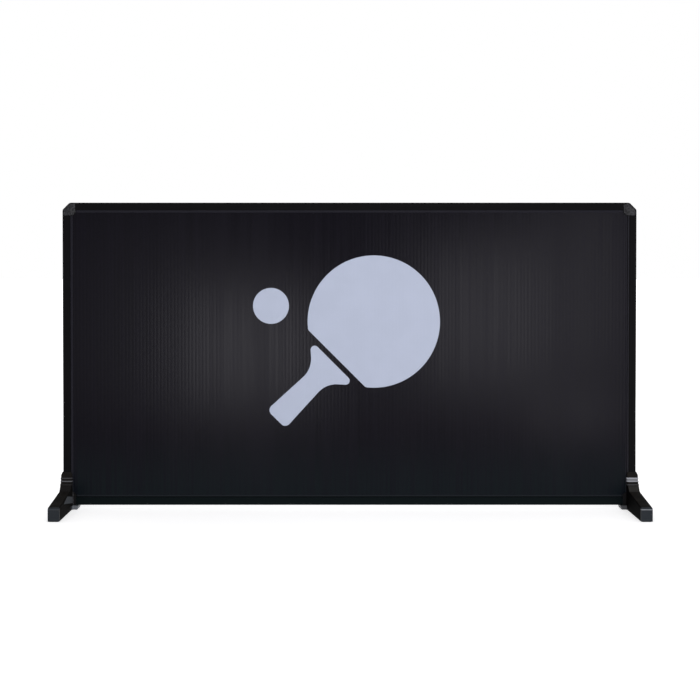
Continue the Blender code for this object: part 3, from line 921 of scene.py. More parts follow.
@dataclass(frozen=True)
class FootPlastic(MouldedPlastic):
    """The feet's plastic: rough and dark, with painted light and shade over its toe ends, heels,
    crests, flanks and shoulders.
    """

    # Painted light bounced off the floor onto the toe ends.
    toe_bounce_light: Colour = (0.027, 0.031, 0.035)
    smooth_roughness: float = 0.2
    sides: Span = (-0.3, 0.3)
    toe_span: Span = (172 * MM, 177 * MM)
    # Painted highlight along the toe's top edge: left foot, then right.
    toe_edge_highlights: tuple[Colour, Colour] = ((0.05, 0.053, 0.056), (0.23, 0.24, 0.25))
    toe_highlight_span: Span = (28.2 * MM, 30.1 * MM)
    soft_edge: float = 0.5 * MM
    # Painted light on the heels' front faces: left foot, then right.
    heels: tuple[Colour, Colour] = ((0.155, 0.168, 0.18), (0.082, 0.085, 0.088))
    heel_height: float = 11 * MM
    heel_reach: Span = (675.5 * MM, 677 * MM)
    # Painted shade on the inner flanks: left foot, then right, which is the deepest.
    painted_flank_shade: tuple[Colour, Colour] = ((0.0073, 0.007, 0.0068), (0.0016, 0.0015, 0.0015))
    flank_span: Span = (678.0 * MM, 679.0 * MM)
    # Painted pale patch of light on the left foot's inner flank, with a weaker painted strip along
    # its lower edge.
    light_patch_colour: Colour = (0.094, 0.103, 0.112)
    patch_sides: Span = (-0.6, -0.5)
    patch_start: Span = (-14 * MM, -10 * MM)
    patch_soft: float = 0.7 * MM
    patch_floor: tuple[float, float] = (0.1485, 14.2 * MM)
    patch_roofs: tuple[tuple[float, float], ...] = ((0.171, 29.6 * MM), (-0.249, 62.6 * MM))
    sill_span: Span = (12 * MM, 55 * MM)
    sill_share: float = 0.5
    # Painted light on the tower shoulders: left foot, then right, which is much lighter.
    shoulders: tuple[Colour, Colour] = ((0.0125, 0.0118, 0.0115), (0.028, 0.0273, 0.0255))
    shoulder_span: Span = (46.5 * MM, 60.0 * MM)
    shoulder_soft: float = 1.2 * MM
    shoulder_reach: Span = (40 * MM, 44 * MM)
    # Painted highlights on the ring crests, weaker on the left foot, with a painted highlight band
    # over the right foot's upper crests.
    crest: Colour = (0.34, 0.35, 0.37)
    crest_rise: Span = (68.4 * MM, 70.0 * MM)
    crest_strength: Span = (0.12, 1.0)
    ring_start: float = 62.9 * MM
    ring_pitch: float = 7.2 * MM
    ring_edge: Span = (1.1 * MM, 1.7 * MM)
    rings_limits: Span = (60.5 * MM, 79.5 * MM)
    left_fade: Span = (73 * MM, 75 * MM)
    left_strength: Span = (0.34, 0.13)
    highlight_band: Span = (71.2 * MM, 79.2 * MM)
    band_share: float = 0.5

    def toe_ends(self, graph: NodeGraph) -> Socket:
        """One on the toe ends and nothing elsewhere."""
        return graph.rising(graph.out(Axis.Y), self.toe_span)

    def heel_ends(self, graph: NodeGraph) -> Socket:
        """One on the heels under the bottom rail and nothing elsewhere."""
        under = graph.maths(Maths.BELOW, graph.along(Axis.Z), self.heel_height)
        return graph.times(graph.falling(graph.out(Axis.X), self.heel_reach), under)

    def shoulder(self, graph: NodeGraph) -> Socket:
        """One on the tower's shoulders between the rings and the legs."""
        band = graph.stripe(graph.along(Axis.Z), self.shoulder_span, self.shoulder_soft)
        return graph.times(graph.falling(graph.out(Axis.Y), self.shoulder_reach), band)

    def crest_highlights(self, graph: NodeGraph) -> Socket:
        """The strength of the painted crest highlights, by ring, and weaker on the left foot.

        A crest's strength falls off with the distance to it, which is a zigzag of the height.
        On the right foot a painted highlight band lies over the upper crests.

        Args:
            graph: The material's nodes.

        Returns:
            The strength.
        """
        height = graph.along(Axis.Z)
        right = graph.rising(graph.along(Axis.X), self.sides)
        above = graph.maths(Maths.MINUS, height, self.ring_start)
        from_crest = graph.maths(Maths.ZIGZAG, above, self.ring_pitch / 2)
        low, high = self.rings_limits
        strength = graph.times(
            graph.falling(from_crest, self.ring_edge),
            graph.between(height, self.crest_rise, self.crest_strength),
            graph.larger(graph.between(height, self.left_fade, self.left_strength), right),
            graph.maths(Maths.ABOVE, height, low),
            graph.maths(Maths.BELOW, height, high),
        )
        band = graph.stripe(height, self.highlight_band, self.soft_edge)
        return graph.larger(strength, graph.times(band, right, self.band_share))

    def light_patch(self, graph: NodeGraph) -> Socket:
        """One on the painted pale patch of light inside the left foot's front leg, level with the
        bottom rail.

        Three straight lines bound it over the flank, each a slope and a height in the middle
        plane: one below and two above. A weaker painted patch of light runs out from the heel
        along the flank's lower edge.

        Args:
            graph: The material's nodes.

        Returns:
            The mark's strength.
        """
        front = graph.times(graph.along(Axis.Y), -1.0)
        height = graph.along(Axis.Z)
        left = graph.falling(graph.along(Axis.X), self.patch_sides)
        mark = graph.times(left, graph.rising(front, self.patch_start))
        for slope, start in (self.patch_floor, *self.patch_roofs):
            over = graph.maths(Maths.MINUS, height, graph.times(front, slope))
            limits = (start - self.patch_soft, start + self.patch_soft)
            inside = graph.rising if (slope, start) == self.patch_floor else graph.falling
            mark = graph.times(mark, inside(over, limits))
        sill = graph.between(front, self.sill_span, (self.sill_share, 0.0))
        under = graph.maths(Maths.BELOW, height, self.heel_height)
        return graph.larger(mark, graph.times(sill, under, left))

    def tone(self, graph: NodeGraph) -> Socket:
        """The mottled colour under painted light and shade: shoulders, flanks, patch, toe ends,
        heels and crests.

        Args:
            graph: The material's nodes.

        Returns:
            The colour.
        """
        flank = graph.falling(graph.out(Axis.X), self.flank_span)
        toes = self.toe_ends(graph)
        edge = graph.stripe(graph.along(Axis.Z), self.toe_highlight_span, self.soft_edge)
        wear_and_painted_light = super().tone(graph)
        # Blends in turn the painted light and shade on shoulders, flanks, patch, toe ends, toe
        # edges, heels and crests.
        for share, colour in (
            (self.shoulder(graph), graph.by_side(self.sides, *self.shoulders)),
            (flank, graph.by_side(self.sides, *self.painted_flank_shade)),
            (graph.times(self.light_patch(graph), flank), self.light_patch_colour),
            (toes, self.toe_bounce_light),
            (graph.times(edge, toes), graph.by_side(self.sides, *self.toe_edge_highlights)),
            (self.heel_ends(graph), graph.by_side(self.sides, *self.heels)),
            (self.crest_highlights(graph), self.crest),
        ):
            wear_and_painted_light = graph.blend(share, wear_and_painted_light, colour)
        return wear_and_painted_light

    def sheen(self, graph: NodeGraph) -> Socket:
        """Rough plastic, smoother on the toe ends, heels and ring crests."""
        smooth = graph.larger(self.toe_ends(graph), self.heel_ends(graph), self.crest_highlights(graph))
        return graph.blend(smooth, super().sheen(graph), self.smooth_roughness, Mixed.NUMBERS)


@dataclass(frozen=True)
class PrintedInk:
    """Matte ink on a thin film, which lets the ribs under it show as a slight relief."""

    colour: Colour = (0.43, 0.476, 0.578)
    roughness: Span = (0.5, 0.6)
    rib_pitch: float = 8.6 * MM
    rib_depth: float = 0.03 * MM
    speck: float = 0.7 * MM
    cloud: float = 60 * MM
    cloud_span: Span = (0.35, 0.7)
    cloud_shares: Span = (0.985, 1.015)
    gloss: float = 0.3

    def material(self) -> Material:
        """Builds the node material.

        The wave node's bands repeat every full turn / (WAVE_BANDS * scale).

        Returns:
            The ink.
        """
        graph = NodeGraph("pale_ink")
        wave = graph.add("ShaderNodeTexWave", wave_type="BANDS", bands_direction="X")
        graph.feed(wave.inputs["Vector"], graph.place())
        wave.inputs["Scale"].default_value = math.tau / (WAVE_BANDS * self.rib_pitch)
        clouds = graph.rising(graph.noise(self.cloud, detail=3), self.cloud_span)
        base = graph.blend(clouds, *two_shades(self.colour, self.cloud_shares))
        specks = graph.noise(self.speck)
        graph.finish(base, graph.between(specks, NOISE_RANGE, self.roughness), self.gloss)
        graph.height(wave.outputs["Fac"], self.rib_depth)
        return graph.material


@dataclass(frozen=True)
class BlackenedSteel:
    """Oil-blackened steel of small fasteners, a little polished by handling."""

    colour: Colour = (0.05, 0.05, 0.055)
    roughness: Span = (0.25, 0.45)
    stain: float = 1.5 * MM
    stain_shares: Span = (0.7, 1.5)
    grain: float = 0.5 * MM
    grain_depth: float = 0.01 * MM

    def material(self) -> Material:
        """Builds the node material.

        Returns:
            The steel.
        """
        graph = NodeGraph("blackened_steel")
        graph.shader.inputs["Metallic"].default_value = 1.0
        stain = graph.noise(self.stain, detail=4)
        share = graph.rising(stain, NOISE_RANGE)
        base = graph.blend(share, *two_shades(self.colour, self.stain_shares))
        graph.finish(base, graph.between(stain, NOISE_RANGE, self.roughness))
        graph.height(graph.noise(self.grain), self.grain_depth)
        return graph.material


class Palette:
    """The finishes of the whole barrier, each made once."""

    def __init__(self) -> None:
        """Builds every material."""
        self.rail = CoatedMetal(along=Axis.X).material()
        self.upright = CoatedMetal(along=Axis.Z).material()
        self.sheet = TwinWallPlastic().material()
        self.ink = PrintedInk().material()
        self.corner = CornerPlastic(
            name="grey_grained_plastic",
            colour=(0.037, 0.037, 0.0385),
            roughness=(0.42, 0.58),
            grain=1.1 * MM,
            grain_depth=0.05 * MM,
            gloss=0.035,
        ).material()
        self.foot = FootPlastic(
            name="black_moulded_plastic",
            colour=(0.0112, 0.0102, 0.0092),
            roughness=(0.65, 0.85),
            grain=1.3 * MM,
            grain_depth=0.05 * MM,
            gloss=0.012,
        ).material()
        self.rubber = MouldedPlastic(
            name="black_rubber",
            colour=(0.008, 0.008, 0.008),
            roughness=(0.7, 0.9),
            grain=0.8 * MM,
            grain_depth=0.05 * MM,
            gloss=0.1,
        ).material()
        self.steel = BlackenedSteel().material()


def node_span(node: str, axis: Axis) -> Span:
    """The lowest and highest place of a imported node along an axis."""
    low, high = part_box(node)
    return low[axis.value], high[axis.value]


def dress(node: str, mesh: Mesh, material: Material, body: str) -> bpy.types.Object:
    """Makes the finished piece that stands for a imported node.

    Flat faces keep flat shading beside their rounded rims, because the corner normals are
    weighted by the areas of the faces that meet there.

    Args:
        node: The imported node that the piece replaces.
        mesh: Its finished mesh.
        material: Its finish.
        body: The body that it rides on.

    Returns:
        The new piece.
    """
    mesh.shade_smooth()
    mesh.set_sharp_from_angle(angle=SMOOTH_ANGLE)
    raw = linked(node + "_raw", mesh)
    raw.modifiers.new("Normals", "WEIGHTED_NORMAL").keep_sharp = True
    final = evaluated_mesh(raw)
    bpy.data.objects.remove(raw)
    final.name = node + "_finished"
    final.materials.clear()
    final.materials.append(material)
    piece = linked(node + "_finished", final)
    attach(piece, body)
    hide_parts(node)
    log.info("%s: %d faces on %s", piece.name, len(final.polygons), body)
    return piece


@dataclass(frozen=True)
class Screw:
    """A countersunk screw, its head up along +Z: cross recess, threaded shank and point."""

    length: float = 12 * MM
    core_radius: float = 1.05 * MM
    crest_radius: float = 1.42 * MM
    crest_power: float = 2
    pitch: float = 1.0 * MM
    head_radius: float = 2.8 * MM
    head_depth: float = 1.4 * MM
    head_rim: float = 0.15 * MM
    rim_shares: tuple[float, ...] = (-1.6, -0.8, 0.0)
    tip: float = 2 * MM
    tip_share: float = 0.12
    tip_power: float = 0.8
    sides: int = 32
    rows_per_turn: int = 8
    recess_reach: float = 1.7 * MM
    recess_width: float = 0.8 * MM
    recess_depth: float = 0.9 * MM

    def thread(self) -> tuple[np.ndarray, np.ndarray]:
        """Radii and heights of the shank.

        The radius at a height and a direction is the core's, plus the thread's depth times a
        sharpened cosine of (height / pitch - direction / full turn), faded out at both ends
        and drawn to a point over the tip.

        Returns:
            Radii shaped (rows, sides) and heights shaped (rows,).
        """
        top = -self.head_depth
        rows = round((self.length - self.head_depth) / self.pitch * self.rows_per_turn)
        heights = np.linspace(-self.length, top, rows)
        angle = np.arange(self.sides) * math.tau / self.sides
        phase = math.tau * heights[:, None] / self.pitch - angle
        wave = ((1 + np.cos(phase)) / 2) ** self.crest_power
        fade = np.clip((top - heights) / self.pitch, 0, 1)[:, None]
        above_tip = np.clip((heights + self.length) / self.tip, self.tip_share, 1)
        depth = self.crest_radius - self.core_radius
        radii = self.core_radius + depth * wave * fade
        return radii * above_tip[:, None] ** self.tip_power, heights

    def mesh(self, name: str) -> Mesh:
        """The whole screw.

        Args:
            name: Name of the mesh.

        Returns:
            The screw as one mesh.
        """
        radii, heights = self.thread()
        edge = np.array([self.head_radius, self.head_radius, self.head_radius - self.head_rim])
        head = np.repeat(edge[:, None], self.sides, axis=1)
        rise = self.head_rim * np.array(self.rim_shares)
        rows = np.concatenate([heights, rise])
        body = turned_surface(np.concatenate([radii, head]), rows, self.sides)
        arm, half = self.recess_reach, self.recess_width / 2
        span = (-self.recess_depth, CUT_OVERRUN)
        across = prism(box_outline((-arm, arm), (-half, half)), span, Axis.Z)
        along = prism(box_outline((-half, half), (-arm, arm)), span, Axis.Z)
        return combined(name, body, (Cut.TAKE, across), (Cut.TAKE, along))


@dataclass(frozen=True)
class FrameAssembly:
    """Four lengths of slotted tube, four corner connectors and the screws that hold them."""

    face: float = 18 * MM
    depth: float = 20 * MM
    wall: float = 1.6 * MM
    edge_radius: float = 1.2 * MM
    step_radius: float = 0.8 * MM
    lip_reach: float = 6 * MM
    lip_half: float = 4.3 * MM
    slot_half: float = 2.8 * MM
    lip_rounding: float = 0.7 * MM
    root_rounding: float = 0.5 * MM
    cavity_rounding: float = 1.0 * MM
    end_ease: float = 0.15 * MM
    end_tolerance: float = 0.01 * MM
    gap: float = 0.3 * MM
    arm: float = 31 * MM
    chamfer: float = 16 * MM
    chamfer_rounding: float = 5 * MM
    top_chamfer: float = 17.2 * MM
    top_rounding: float = 9 * MM
    inner_rounding: float = 1.5 * MM
    inner_share: float = 0.5
    end_share: float = 0.06
    spigot_length: float = 40 * MM
    spigot_flange: float = 3 * MM
    spigot_web: float = 6.2 * MM
    spigot_rounding: float = 0.4 * MM
    screw_bore: float = 1.3 * MM
    screw_from_end: float = 18 * MM
    screw_sink: float = 0.1 * MM
    screw_play: float = 0.2 * MM
    peg_inset: float = 22 * MM
    peg_hole_radius: float = 4.3 * MM
    peg_hole_depth: float = 9.3 * MM
    screw: Screw = Screw()

    @property
    def section_face(self) -> float:
        """The section from its outer side to the ends of its lips."""
        return self.face + self.lip_reach

    def section(self) -> np.ndarray:
        """The tube's section, from one side's corners and their mirror image.

        Returns:
            Points as (depth, -distance from the outer side).
        """
        half = self.depth / 2
        side = [
            (half, 0, self.edge_radius),
            (half, -self.face, self.step_radius),
            (self.lip_half, -self.face, self.root_rounding),
            (self.lip_half, -self.section_face, self.lip_rounding),
            (self.slot_half, -self.section_face, self.lip_rounding),
            (self.slot_half, -self.face, 0),
        ]
        return rounded(mirrored(side))

    def screw_cut(self, along: float, across: float) -> Surface:
        """The countersunk hole for one screw, entered from the back.

        Args:
            along: Its place along the bar's X.
            across: Its place along Z.

        Returns:
            The cutter, a little larger than the screw.
        """
        screw, play = self.screw, self.screw_play
        core, head = self.screw_bore + play, screw.head_radius + play
        profile = [
            (core / 3, -screw.length - play),
            (core, -screw.length + screw.tip),
            (core, -screw.head_depth),
            (head, 0),
            (head, CUT_OVERRUN),
        ]
        upright = turned_surface(*np.array(profile).T, screw.sides)
        to_back = np.array([[1, 0, 0], [0, 0, 1], [0, -1, 0]])
        return upright.turned(to_back).moved((along, self.depth / 2 - self.screw_sink, across))

    def bar(self, name: str, length: float) -> Mesh:
        """One bar along X, hung from its outer side, hollow and drilled.

        Args:
            name: Name of the mesh.
            length: Length of the bar.

        Returns:
            The bar, its lips marked.
        """
        half = length / 2
        body = prism(self.section(), (-half, half), Axis.X, self.end_ease, steps=2)
        reach, across = self.depth / 2 - self.wall, (-self.face + self.wall, -self.wall)
        hollow = box_outline((-reach, reach), across, self.cavity_rounding)
        inside = prism(hollow, (-half - CUT_OVERRUN, half + CUT_OVERRUN), Axis.X)
        place = half - self.screw_from_end
        drills = [self.screw_cut(side * place, -self.face / 2) for side in SIDES]
        mesh = combined(name, body, (Cut.TAKE, inside), (Cut.TAKE, drills[0].joined(drills[1])))
        self.mark_lips(mesh)
        return mesh

    def mark_lips(self, mesh: Mesh) -> None:
        """Gives each point of a bar the value 1 on its two lips and 0 elsewhere.

        Args:
            mesh: The bar, before it is turned to its place.
        """
        points = np.empty(3 * len(mesh.vertices), np.float32)
        mesh.vertices.foreach_get("co", points)
        _, depth, height = points.reshape(-1, 3).T
        near = np.abs(depth) < self.lip_half + self.root_rounding
        on_lip = near & (height < -self.face + self.end_ease / 2)
        mark = mesh.attributes.new(LIP_ATTRIBUTE, "FLOAT", "POINT")
        mark.data.foreach_set("value", on_lip.astype(np.float32))

    def block(self, cut: float, rounding: float) -> Surface:
        """The connector's L-shaped block, its outer corner at the origin, arms along +X and -Z.

        The long outer rims round over fully, the inner rims by less, and the rims at the two arm
        ends hardly at all, where they meet the tubes.

        Args:
            cut: How far along each arm its outer corner is cut off.
            rounding: Radius at both ends of that cut.

        Returns:
            The block without its spigots.
        """
        arm, inner = self.arm, self.section_face
        corners = [
            (0, -cut, rounding),
            (cut, 0, rounding),
            (arm, 0, 0),
            (arm, -inner, self.inner_rounding),
            (inner, -arm, self.inner_rounding),
            (0, -arm, 0),
        ]
        outline = rounded(corners)
        middle = (outline + np.roll(outline, -1, axis=0)) / 2
        at_end = np.maximum(middle[:, 0], -middle[:, 1]) > arm - self.end_tolerance
        within = middle[:, 0] - middle[:, 1] > arm + self.gap
        shares = np.where(at_end, self.end_share, np.where(within, self.inner_share, 1.0))
        half = self.depth / 2
        return prism(outline, (-half, half), Axis.Y, self.edge_radius, shares, steps=8)

    def spigot(self) -> np.ndarray:
        """The I-section that fits the tube's hollow: two flanges and the web between them.

        Returns:
            Points as (distance from the outer side, depth).
        """
        low, high = self.wall + self.gap, self.face - self.wall - self.gap
        half = self.depth / 2 - self.wall - self.gap
        inner = half - self.spigot_flange
        web_low, web_high = (low + high - self.spigot_web) / 2, (low + high + self.spigot_web) / 2
        small = self.spigot_rounding
        return rounded(
            [
                (low, -half, small), (high, -half, small), (high, -inner, small),
                (web_high, -inner, small), (web_high, inner, small), (high, inner, small),
                (high, half, small), (low, half, small), (low, inner, small),
                (web_low, inner, small), (web_low, -inner, small), (low, -inner, small),
            ],
            steps=3,
        )  # fmt: skip

    def peg_hole(self, peg_arm: Axis) -> Surface:
        """The cutter for the hole that takes a foot's peg.

        Args:
            peg_arm: The axis of the arm that it enters from outside.

        Returns:
            The cutter.
        """
        heights = np.array([-self.peg_hole_depth, CUT_OVERRUN])
        hole = turned_surface(np.full(2, self.peg_hole_radius), heights, self.screw.sides)
        if peg_arm is Axis.X:
            return hole.moved((self.peg_inset, 0, 0))
        to_side = np.array([[0, 0, -1], [0, 1, 0], [1, 0, 0]])
        return hole.turned(to_side).moved((0, 0, -self.peg_inset))

    def corner(self, name: str, peg_arm: Axis | None) -> Mesh:
        """One connector with its two spigots.

        Args:
            name: Name of the mesh.
            peg_arm: The arm with the hole for the foot's peg, or None on a top connector.

        Returns:
            The connector's mesh, its outer corner at the origin.
        """
        start, end = self.arm - self.spigot_web, self.arm + self.spigot_length
        outline = self.spigot()
        swapped = np.stack([outline[:, 1], -outline[:, 0]], axis=-1)
        far = self.arm + CUT_OVERRUN
        slot = box_outline((self.face, far), (-far, -self.face))
        place = self.arm + self.gap + self.screw_from_end
        drill, other = self.screw_cut(place, -self.face / 2), self.screw_cut(self.face / 2, -place)
        steps = [
            (Cut.ADD, prism(swapped, (start, end), Axis.X, self.spigot_rounding, steps=2)),
            (Cut.ADD, prism(outline, (-end, -start), Axis.Z, self.spigot_rounding, steps=2)),
            (Cut.TAKE, prism(slot, (-self.slot_half, self.slot_half), Axis.Y)),
            (Cut.TAKE, drill.joined(other)),
        ]
        if peg_arm is None:
            return combined(name, self.block(self.top_chamfer, self.top_rounding), *steps)
        steps.append((Cut.TAKE, self.peg_hole(peg_arm)))
        return combined(name, self.block(self.chamfer, self.chamfer_rounding), *steps)

    def build(self, palette: Palette) -> None:
        """Makes and dresses every bar, connector and screw.

        Args:
            palette: The finishes.
        """
        left, right = node_span("left_upright", Axis.X)[0], node_span("right_upright", Axis.X)[1]
        bottom, top = node_span("bottom_rail", Axis.Z)[0], node_span("top_rail", Axis.Z)[1]
        middle = (bottom + top) / 2
        bars = {
            "top_rail": ((0, 0, top), 0, Axis.X, palette.rail),
            "bottom_rail": ((0, 0, bottom), 2, Axis.X, palette.rail),
            "left_upright": ((left, 0, middle), -1, Axis.Z, palette.upright),
            "right_upright": ((right, 0, middle), 1, Axis.Z, palette.upright),
        }
        for node, (place, quarters, along, finish) in bars.items():
            low, high = node_span(node, along)
            mesh = self.bar(node, high - low)
            mesh.transform(turned_to(place, Axis.Y, quarters))
            dress(node, mesh, finish, "frame")
        corners = {
            "top_left_corner": ((left, 0, top), 0, None),
            "top_right_corner": ((right, 0, top), 1, None),
            "bottom_right_corner": ((right, 0, bottom), 2, Axis.X),
            "bottom_left_corner": ((left, 0, bottom), -1, Axis.Z),
        }
        for node, (place, quarters, peg_arm) in corners.items():
            mesh = self.corner(node, peg_arm)
            mesh.transform(turned_to(place, Axis.Y, quarters))
            dress(node, mesh, palette.corner, "frame")
        self.build_screws(palette)

    def build_screws(self, palette: Palette) -> None:
        """Makes the eight screws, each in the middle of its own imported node.

        Args:
            palette: The finishes.
        """
        ends, sides = ("top", "bottom"), ("left", "right")
        names = [f"{end}_rail_{side}_screw" for end in ends for side in sides]
        names += [f"{side}_upright_{end}_screw" for side in sides for end in ends]
        for node in names:
            low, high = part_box(node)
            place = ((low.x + high.x) / 2, high.y, (low.z + high.z) / 2)
            mesh = self.screw.mesh(node)
            mesh.transform(turned_to(place, Axis.X, -1))
            dress(node, mesh, palette.steel, "frame")


@dataclass(frozen=True)
class PanelAssembly:
    """The twin-wall sheet and the flat emblem on its front."""

    skin: float = 0.5 * MM
    pitch: float = 8.6 * MM
    rib: float = 0.5 * MM
    dip_depth: float = 0.05 * MM
    dip_width: float = 1.5 * MM
    sway_depth: float = 0.06 * MM
    sway_lengths: tuple[float, float] = (310 * MM, 530 * MM)
    rows: int = 28
    columns_in_flute: int = 7
    film_lift: float = 0.02 * MM
    film_thickness: float = 0.28 * MM
    film_ease: float = 0.12 * MM

    def relief(self, x: np.ndarray, z: np.ndarray, side: int) -> np.ndarray:
        """How far the skin lies inside the sheet's full thickness.

        It dips by a bell curve over each rib, and sways by the sum of two long sines across
        and along the flutes, set so that it never stands proud.

        Args:
            x: Places across the flutes.
            z: Places along them.
            side: -1 on the front and 1 on the back, which sway apart.

        Returns:
            Distances from the full thickness, inwards.
        """
        from_rib = (x + self.pitch / 2) % self.pitch - self.pitch / 2
        dip = self.dip_depth * np.exp(-((from_rib / self.dip_width) ** 2))
        across, along = self.sway_lengths
        sway = np.sin(math.tau * x / across + side) + np.sin(math.tau * (z + x / 3) / along)
        return dip + self.sway_depth * (2 + sway) / 4

    def sheet(self) -> Surface:
        """The whole sheet: two skins, the ribs between them and the open flutes.

        Columns run once round the sheet's section, front then back, and rows run up it. Each
        flute is a four-sided tube of its own, and the end faces join skins, ribs and tubes.

        Returns:
            The closed surface.
        """
        low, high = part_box("panel_sheet")
        half = (high.y - low.y) / 2
        count = int((high.x - low.x - self.rib) / self.pitch)
        ribs = (np.arange(count + 1) - count / 2) * self.pitch
        inner = np.linspace(self.rib / 2, self.pitch - self.rib / 2, self.columns_in_flute)
        over_flutes = (ribs[:-1, None] + np.concatenate([[0.0], inner])).ravel()
        x = np.concatenate([[low.x], over_flutes, ribs[-1:], [high.x]])
        grid_x, grid_z = np.meshgrid(x, np.linspace(low.z, high.z, self.rows))
        front = -half + self.relief(grid_x, grid_z, -1)
        back = half - self.relief(grid_x, grid_z, 1)
        halves = ((grid_x, grid_x[:, ::-1]), (front, back[:, ::-1]), (grid_z, grid_z))
        outer = np.stack([np.concatenate(pair, axis=1) for pair in halves], axis=-1)
        index = np.arange(outer[..., 0].size).reshape(self.rows, -1)

        clear = half - self.skin
        tube_x = ribs[:-1, None] + np.concatenate([inner, inner[::-1]])
        tube_y = np.repeat([-clear, clear], self.columns_in_flute)
        tube_z = np.array([low.z, high.z])[:, None, None]
        tubes = np.stack(np.broadcast_arrays(tube_x, tube_y, tube_z), axis=-1)
        tube = index.size + np.arange(tubes[..., 0].size).reshape(tubes.shape[:-1])
        beside = np.roll(tube, -1, axis=2)
        walls = np.stack([tube[0], tube[1], beside[1], beside[0]], axis=-1).reshape(-1, 4)
        faces = [grid_quads(index), walls]
        for ring, flutes in ((index[0], tube[0]), (index[-1], tube[1])):
            faces += self.end_faces(ring, flutes)
        points = np.concatenate([outer.reshape(-1, 3), tubes.reshape(-1, 3)])
        return Surface(points, tuple(faces))

    def end_faces(self, ring: np.ndarray, tube: np.ndarray) -> list[np.ndarray]:
        """The flat faces of one open end.

        The front's columns 0 and 1 are the sheet's edge and the middle of its first rib.

        Args:
            ring: Point numbers round the sheet's section, front then back.
            tube: Point numbers of each flute's section, shaped (flutes, 2 * columns in flute).

        Returns:
            Face arrays: skin strips over the flutes, skin over the ribs, ribs and both edges.
        """
        n = self.columns_in_flute
        front, back = ring[: len(ring) // 2], ring[len(ring) // 2 :][::-1]
        front_in, back_in = tube[:, :n], tube[:, n:][:, ::-1]
        first = 2 + np.arange(len(tube))[:, None] * (n + 1) + np.arange(n)
        faces = []
        for skin, inside in ((front, front_in), (back, back_in)):
            over, at_rib = skin[first], skin[first[1:, 0] - 1]
            strips = [over[:, :-1], over[:, 1:], inside[:, 1:], inside[:, :-1]]
            over_ribs = [over[:-1, -1], at_rib, over[1:, 0], inside[1:, 0], inside[:-1, -1]]
            faces += [np.stack(strips, axis=-1).reshape(-1, 4), np.stack(over_ribs, axis=-1)]
        ribs = [front_in[:-1, -1], front_in[1:, 0], back_in[1:, 0], back_in[:-1, -1]]
        left = [*front[:3], front_in[0, 0], back_in[0, 0], *back[2::-1]]
        right = [*front[:-4:-1], front_in[-1, -1], back_in[-1, -1], *back[-3:]]
        return [*faces, np.stack(ribs, axis=-1), np.array([left, right])]

    def film(self, outline: np.ndarray) -> Surface:
        """A thin film laid on the front skin, its rim eased towards the sheet.

        Args:
            outline: Points shaped (columns, 2).

        Returns:
            The closed surface.
        """
        back = node_span("panel_sheet", Axis.Y)[0] - self.film_lift
        return prism(outline, (back - self.film_thickness, back), Axis.Y, self.film_ease, steps=3)

    def build(self, palette: Palette) -> None:
        """Makes and dresses the sheet and the three films of the emblem.

        Args:
            palette: The finishes.
        """
        dress("panel_sheet", self.sheet().mesh("panel_sheet"), palette.sheet, "frame")
        emblem = Emblem()
        outlines = {
            "emblem_blade": emblem.blade(),
            "emblem_handle": emblem.handle(),
            "emblem_ball": emblem.ball(),
        }
        for node, outline in outlines.items():
            dress(node, self.film(outline).mesh(node), palette.ink, "frame")


@dataclass(frozen=True)
class Emblem:
    """A plain bat and ball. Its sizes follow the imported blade's and ball's boxes."""

    tilt: float = math.radians(225)
    cut: float = 34 * MM
    rounding: float = 10 * MM
    trim_share: float = 1.4
    split: float = 13 * MM
    throat: float = 49 * MM
    neck_half: float = 25 * MM
    neck_rounding: float = 60 * MM
    handle_length: float = 197 * MM
    end_half: float = 32 * MM
    end_rounding: float = 14 * MM
    arc_steps: int = 16
    circle_steps: int = 160

    @property
    def radius(self) -> float:
        """Radius of the bat's face, half the height of its box."""
        low, high = node_span("emblem_blade", Axis.Z)
        return (high - low) / 2

    @property
    def middle(self) -> np.ndarray:
        """Centre of the bat's face, one radius in from its box's right and upper sides."""
        right, top = (node_span("emblem_blade", axis)[1] for axis in (Axis.X, Axis.Z))
        return np.array([right - self.radius, top - self.radius])

    def tilted(self, outline: np.ndarray) -> np.ndarray:
        """Turns (distance towards the handle, across) points to the bat's tilt."""
        c, s = math.cos(self.tilt), math.sin(self.tilt)
        return self.middle + outline @ np.array([[c, s], [-s, c]])

    def blade(self) -> np.ndarray:
        """The bat's face: a circle cut off square towards the handle, its corners rounded.

        Returns:
            Points shaped (count, 2).
        """
        chord = self.radius - self.cut
        half_angle = math.acos(chord / self.radius)
        corner = self.radius * math.sin(half_angle)
        start = half_angle + self.trim_share * self.rounding / self.radius
        angle = np.linspace(start, math.tau - start, self.circle_steps)
        arc = [(*point, 0.0) for point in self.radius * on_circle(angle)]
        ends = [(chord, side * corner, self.rounding) for side in SIDES]
        return self.tilted(rounded([ends[1], *arc, ends[0]]))

    def handle(self) -> np.ndarray:
        """The throat and handle, narrowing from the blade's rim and flaring at the end.

        Returns:
            Points shaped (count, 2).
        """
        shoulder = self.radius - self.cut + self.split
        side = [
            (shoulder, math.sqrt(self.radius**2 - shoulder**2), self.rounding),
            (shoulder + self.throat, self.neck_half, self.neck_rounding),
            (shoulder + self.handle_length, self.end_half, self.end_rounding),
        ]
        return self.tilted(rounded(mirrored(side, (1, -1)), self.arc_steps))

    def ball(self) -> np.ndarray:
        """The ball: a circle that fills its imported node's box.

        Returns:
            Points shaped (count, 2).
        """
        low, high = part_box("emblem_ball")
        centre = np.array([(low.x + high.x) / 2, (low.z + high.z) / 2])
        angle = np.arange(self.circle_steps) * math.tau / self.circle_steps
        return centre + (high.x - low.x) / 2 * on_circle(angle)


